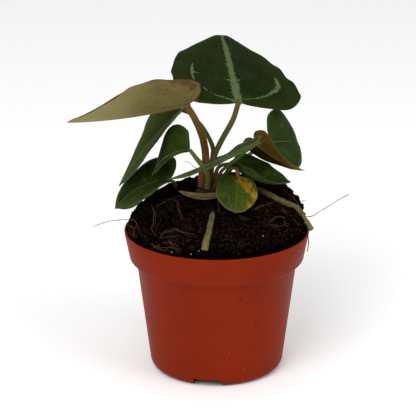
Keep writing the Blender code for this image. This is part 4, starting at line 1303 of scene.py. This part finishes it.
def pot_material():
    """Moulded terracotta-coloured plastic with a soft sheen, dust and a few scuffs."""
    made, shader, w = new_material("terracotta_plastic", Specular_IOR_Level=POT_GLOSS)
    place = w.place()
    cloud = w.grain(place, 22.0, 3.0)
    speck = w.grain(place, 700.0, 2.0, 0.6)
    colour = w.blend(w.between(cloud, 0.3, 0.7), rgb(117, 32, 10), rgb(124, 35, 12))
    colour = w.blend(0.5, colour, w.between(speck, 0.2, 0.8, 0.86, 1.12), "MULTIPLY")
    flat = w.run("ShaderNodeMapping", Vector=place, Rotation=(0.4, 0.2, 0.7),
                 Scale=(1.0, 1.0, 0.16))
    scratches = w.grain(flat, 620.0, 2.0, 0.5)
    scuffed = w.between(scratches, 0.74, 0.78) * w.between(cloud, 0.48, 0.62)
    colour = w.blend(scuffed * 0.2, colour, rgb(190, 110, 84))
    for (x, y, z), radius in POT_MARKS:
        centre = ((x + POT_X) * MM, (y + POT_Y) * MM, z * MM)
        away = w.run("ShaderNodeVectorMath", "Value", (place, centre), {"operation": "DISTANCE"})
        mark = w.between(away, radius * 1.3 * MM, radius * 0.5 * MM)
        colour = w.blend(mark * 0.7, colour, rgb(70, 24, 14))
    w.feed(shader.inputs["Roughness"], w.between(cloud, 0.3, 0.7, 0.40, 0.50))
    finish_surface(w, shader, colour, speck * 0.4 + cloud * 0.6, 0.08 * MM)
    return made


# Soil crumbs and fibres, by Geometry Nodes

def open_ground(w, reach):
    """Chooses the soil's upper faces, clear of the crown and within reach of the pot's centre."""
    apart = w.put("ShaderNodeSeparateXYZ", Vector=w.run("GeometryNodeInputPosition"))
    east, north, height = w.outputs(apart).values()

    def away_from(x, y):
        across, back = east - (x + POT_X) * MM, north - (y + POT_Y) * MM
        return w.maths("SQRT", across * across + back * back)

    clear = w.maths("GREATER_THAN", away_from(CROWN_X, CROWN_Y), (CROWN_RADIUS + 0.5) * MM)
    near = w.maths("LESS_THAN", away_from(0, 0), reach)
    return clear * near * w.maths("GREATER_THAN", height, (POT_HEIGHT + 1.5) * MM)


def scatter_tree(name, build_shapes, inputs):
    """A tree that scatters small shapes, which build_shapes adds, over a mesh."""
    tree = bpy.data.node_groups.new(name, "GeometryNodeTree")
    for title, direction, kind in [("Geometry", "INPUT", "Geometry"),
                                   *((key, "INPUT", kind) for key, kind in inputs.items()),
                                   ("Geometry", "OUTPUT", "Geometry")]:
        tree.interface.new_socket(name=title, in_out=direction, socket_type=f"NodeSocket{kind}")
    w = Wiring(tree)
    given = w.outputs(tree.nodes.new("NodeGroupInput"))

    def random_value(low, high):
        node = w.put("FunctionNodeRandomValue", {"data_type": "FLOAT"}, Seed=given["Seed"])
        w.feed(node.inputs[2], low)
        w.feed(node.inputs[3], high)
        return Signal(w, node.outputs[1])

    spread = w.outputs(w.put("GeometryNodeDistributePointsOnFaces", {"distribute_method": "RANDOM"},
                             Mesh=given["Geometry"], Density=given["Density"], Seed=given["Seed"],
                             Selection=open_ground(w, given["Reach"])))
    spin = w.run("FunctionNodeAxisAngleToRotation", Angle=random_value(0.0, math.tau))
    facing = w.run("FunctionNodeRotateRotation", fed=(spread["Rotation"], spin),
                   settings={"rotation_space": "LOCAL"})
    placed = w.run("GeometryNodeInstanceOnPoints", Points=spread["Points"],
                   Instance=build_shapes(w, given), Pick_Instance=True, Rotation=facing,
                   Scale=random_value(given["Smallest"], given["Largest"]))
    real = w.run("GeometryNodeRealizeInstances", Geometry=placed)
    finished = w.run("GeometryNodeSetMaterial", Geometry=real, Material=given["Material"])
    w.feed(tree.nodes.new("NodeGroupOutput").inputs[0], finished)
    return tree


def roughened(w, shape, apart, scale, detail, centre, spread):
    """Moves a shape's points by noise about its centre, taken from a place of its own."""
    place = w.vector("ADD", w.run("GeometryNodeInputPosition"), apart)
    rough = w.run("ShaderNodeTexNoise", "Color", Vector=place, Scale=scale, Detail=detail)
    offset = w.vector("MULTIPLY", w.vector("SUBTRACT", rough, centre), spread)
    return w.run("GeometryNodeSetPosition", Geometry=shape, Offset=offset)


def as_choices(w, shapes):
    """One geometry of instances for a scatter tree to pick from."""
    join = w.put("GeometryNodeJoinGeometry")
    for shape in shapes:
        w.feed(join.inputs[0], w.run("GeometryNodeGeometryToInstance", Geometry=shape))
    return Signal(w, join.outputs[0])


def crumb_shapes(w, _given):
    """Four rough lumps of one millimetre."""
    lumps = []
    for k in range(4):
        ball = w.run("GeometryNodeMeshIcoSphere", Radius=0.5 * MM, Subdivisions=1)
        bent = roughened(w, ball, (k * 3.7, k * 1.3, 0.0), 1400.0, 1.0, (0.5, 0.5, 0.5),
                         (0.9 * MM, 0.9 * MM, 0.9 * MM))
        size = (1.0, 0.7 + 0.1 * k, 0.65)
        lumps.append(w.run("GeometryNodeTransform", Geometry=bent, Scale=size))
    return as_choices(w, lumps)


def fibre_shapes(w, given):
    """Five bent fibres of ten millimetres that lie on the surface."""
    fibres = []
    for k in range(5):
        line = w.run("GeometryNodeCurvePrimitiveLine", End=(10 * MM, 0, 0))
        finer = w.run("GeometryNodeResampleCurve", Curve=line, Count=8)
        bent = roughened(w, finer, (k * 2.9, 0.7, k * 1.1), 170.0 + 40 * k, 0.0,
                         (0.5, 0.5, 0.42), (8 * MM, 12 * MM, 3 * MM))
        ring = w.run("GeometryNodeCurvePrimitiveCircle", Resolution=4, Radius=given["Thickness"])
        fibres.append(w.run("GeometryNodeCurveToMesh", Curve=bent, Profile_Curve=ring,
                            Fill_Caps=True))
    return as_choices(w, fibres)


def scatter(name, ground, tree, **values):
    """Runs a scatter tree over a copy of the ground and shows the plain mesh that it makes."""
    copy = new_object(f"{name}_ground", ground.data.copy())
    step = copy.modifiers.new("scatter", "NODES")
    step.node_group = tree
    for item in tree.interface.items_tree:
        if item.in_out == "INPUT" and item.name in values:
            step[item.identifier] = values[item.name]
    mesh = evaluated_mesh(copy)
    mesh.name = name
    bpy.data.objects.remove(copy)
    return new_object(name, mesh)


# The plant, part by part

def make_leaves():
    for name, blade in BLADES.items():
        skin = leaf_material(name, *FACES[name], gloss=GLOSS.get(name, LEAF_GLOSS))
        grid = FINE_GRID if name == "leaf_01" else LEAF_GRID
        piece = blade_mesh(f"{name}_skin", blade, heart_outline, grid)
        join_to_plant(piece, skin, SLOTS.get(name, "blade_green"), f"{name}_blade")
    for name, sheath in SHEATHS.items():
        skin = leaf_material(name, *FACES[name])
        piece = blade_mesh(f"{name}_skin", sheath, lance_outline, SHEATH_GRID)
        join_to_plant(piece, skin, SLOTS[name], name)


def make_stems():
    for name, stem in STEMS.items():
        finish = rind_material(f"{name}_stalk", low=stem.low, middle=stem.middle, high=stem.high,
                               fleck=rgb(70, 40, 26), fleck_amount=0.12)
        slot = "stem_brown" if name in BROWN_STEMS else "stem_green"
        piece = stem_mesh(f"{name}_stalk", stem, BLADES[name].base)
        join_to_plant(piece, finish, slot, f"{name}_stem")
    finish = rind_material("pink_bud", low=BUD.low, middle=BUD.middle, high=BUD.high,
                           fleck=rgb(120, 60, 50), fleck_amount=0.1)
    join_to_plant(stem_mesh("pink_bud", BUD, rounded_end=True), finish, "bud", "bud")


def make_roots():
    old, thin, dark = (rind_material(name, **RINDS[name])
                       for name in ("old_root", "thin_root", "dark_fibre"))
    for name, route in THICK_ROOTS.items():
        join_to_plant(thick_root(f"{name}_bark", *route), old, "root", name)
    for name, route in STRAY_ROOTS.items():
        root = thin_root(f"{name}_bark", *route, wander=STRAY_WANDER, seed=route[1] * 31)
        join_to_plant(root, thin, "root", name)
    for k, places in enumerate(HAIR_ROOTS):
        radius = HAIR_RADIUS if k % 3 else THICKER_HAIR_RADIUS
        main = thin_root(f"hair_root_{k + 1:02d}", places, radius, radius * HAIR_TAPER, (),
                         HAIR_WANDER, k * 5.3)
        branch = thin_root(f"hair_branch_{k + 1:02d}", places, *BRANCH_RADII, (),
                           BRANCH_WANDER, k * 2.9 + 40)
        join_to_plant(main, thin, "root")
        join_to_plant(branch, thin, "root")
    for k, (radius, line) in enumerate(LOOSE_FIBRES):
        fibre = thin_root(f"loose_fibre_{k + 1}", (), radius, radius * HAIR_TAPER, line,
                          LOOSE_WANDER, k * 3.7)
        join_to_plant(fibre, dark, "root")


def make_ground():
    earth, crumb = earth_material("dark_earth"), earth_material("earth_crumbs")
    strands = rind_material("dry_fibres", **RINDS["dry_fibres"])
    soil = soil_mesh()
    crumbs = scatter_tree("crumbs", crumb_shapes, SCATTER_INPUTS)
    fibres = scatter_tree("fibres", fibre_shapes, {**SCATTER_INPUTS, "Thickness": "Float"})
    pieces = {}
    for name, values in CRUMBS.items():
        under = pieces["large_crumbs"] if name == "fine_crumbs" else soil
        pieces[name] = scatter(name, under, crumbs, Material=crumb, **values)
    wisps = scatter("dry_fibres", soil, fibres, Material=strands, **FIBRES)
    join_to_plant(soil, earth, "soil", "soil")
    for piece in pieces.values():
        join_to_plant(piece, crumb, "soil")
    join_to_plant(wisps, strands, "root")
    join_to_plant(perlite_mesh(), earth_material("perlite"), "soil")
    bark = rind_material("crown_bark", **RINDS["crown_bark"])
    join_to_plant(crown_mesh(), bark, "crown", "crown")


def make_studio():
    """A pale floor, soft light and the camera."""
    floor_mesh = bpy.data.meshes.new("studio_floor")
    floor_mesh.from_pydata(FLOOR_CORNERS, [], [(0, 1, 2, 3)])
    floor = new_object("studio_floor", floor_mesh)
    pale, _, _ = new_material("pale_floor", Base_Color=(FLOOR_SHADE,) * 3, Roughness=0.9)
    floor_mesh.materials.append(pale)
    world = bpy.data.worlds.new("studio")
    world.use_nodes = True
    backdrop = world.node_tree.nodes["Background"]
    backdrop.inputs["Color"].default_value = (1.0, 1.0, 1.0, 1)
    backdrop.inputs["Strength"].default_value = BACKDROP_STRENGTH
    scene = bpy.context.scene
    scene.world = world
    scene.view_settings.view_transform = "Standard"
    for name, (place, size, power) in LIGHTS.items():
        lamp = bpy.data.lights.new(name, "AREA")
        lamp.size = size
        lamp.energy = power
        holder = new_object(name, lamp)
        holder.location = place
        aim = Vector(LIGHTS_AIM) - Vector(place)
        holder.rotation_euler = aim.to_track_quat("-Z", "Y").to_euler()
    tilt = math.radians(VIEW_TILT)
    lens = bpy.data.cameras.new("studio_camera")
    lens.sensor_width = VIEW_SENSOR
    lens.lens = VIEW_LENS
    lens.clip_start = 0.05
    camera = new_object("studio_camera", lens)
    camera.location = ((VIEW_AIM[0] + POT_X) * MM,
                       (VIEW_AIM[1] + POT_Y - VIEW_DISTANCE * math.cos(tilt)) * MM,
                       (VIEW_AIM[2] + VIEW_DISTANCE * math.sin(tilt)) * MM)
    camera.rotation_euler = (math.pi / 2 - tilt, 0, 0)
    scene.camera = camera


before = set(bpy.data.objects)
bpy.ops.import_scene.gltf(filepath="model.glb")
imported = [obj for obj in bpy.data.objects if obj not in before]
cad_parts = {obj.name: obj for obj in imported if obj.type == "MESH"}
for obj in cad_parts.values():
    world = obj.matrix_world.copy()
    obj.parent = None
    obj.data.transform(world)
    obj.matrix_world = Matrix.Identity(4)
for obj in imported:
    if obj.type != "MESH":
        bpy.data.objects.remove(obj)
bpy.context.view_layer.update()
noise.seed_set(NOISE_SEED)
GROUPS = {"leaf": leaf_face_group(), "rind": rind_group(), "earth": earth_group()}
make_studio()
join_to_plant(pot_mesh(), pot_material(), "pot", "pot")
make_ground()
make_leaves()
make_stems()
make_roots()
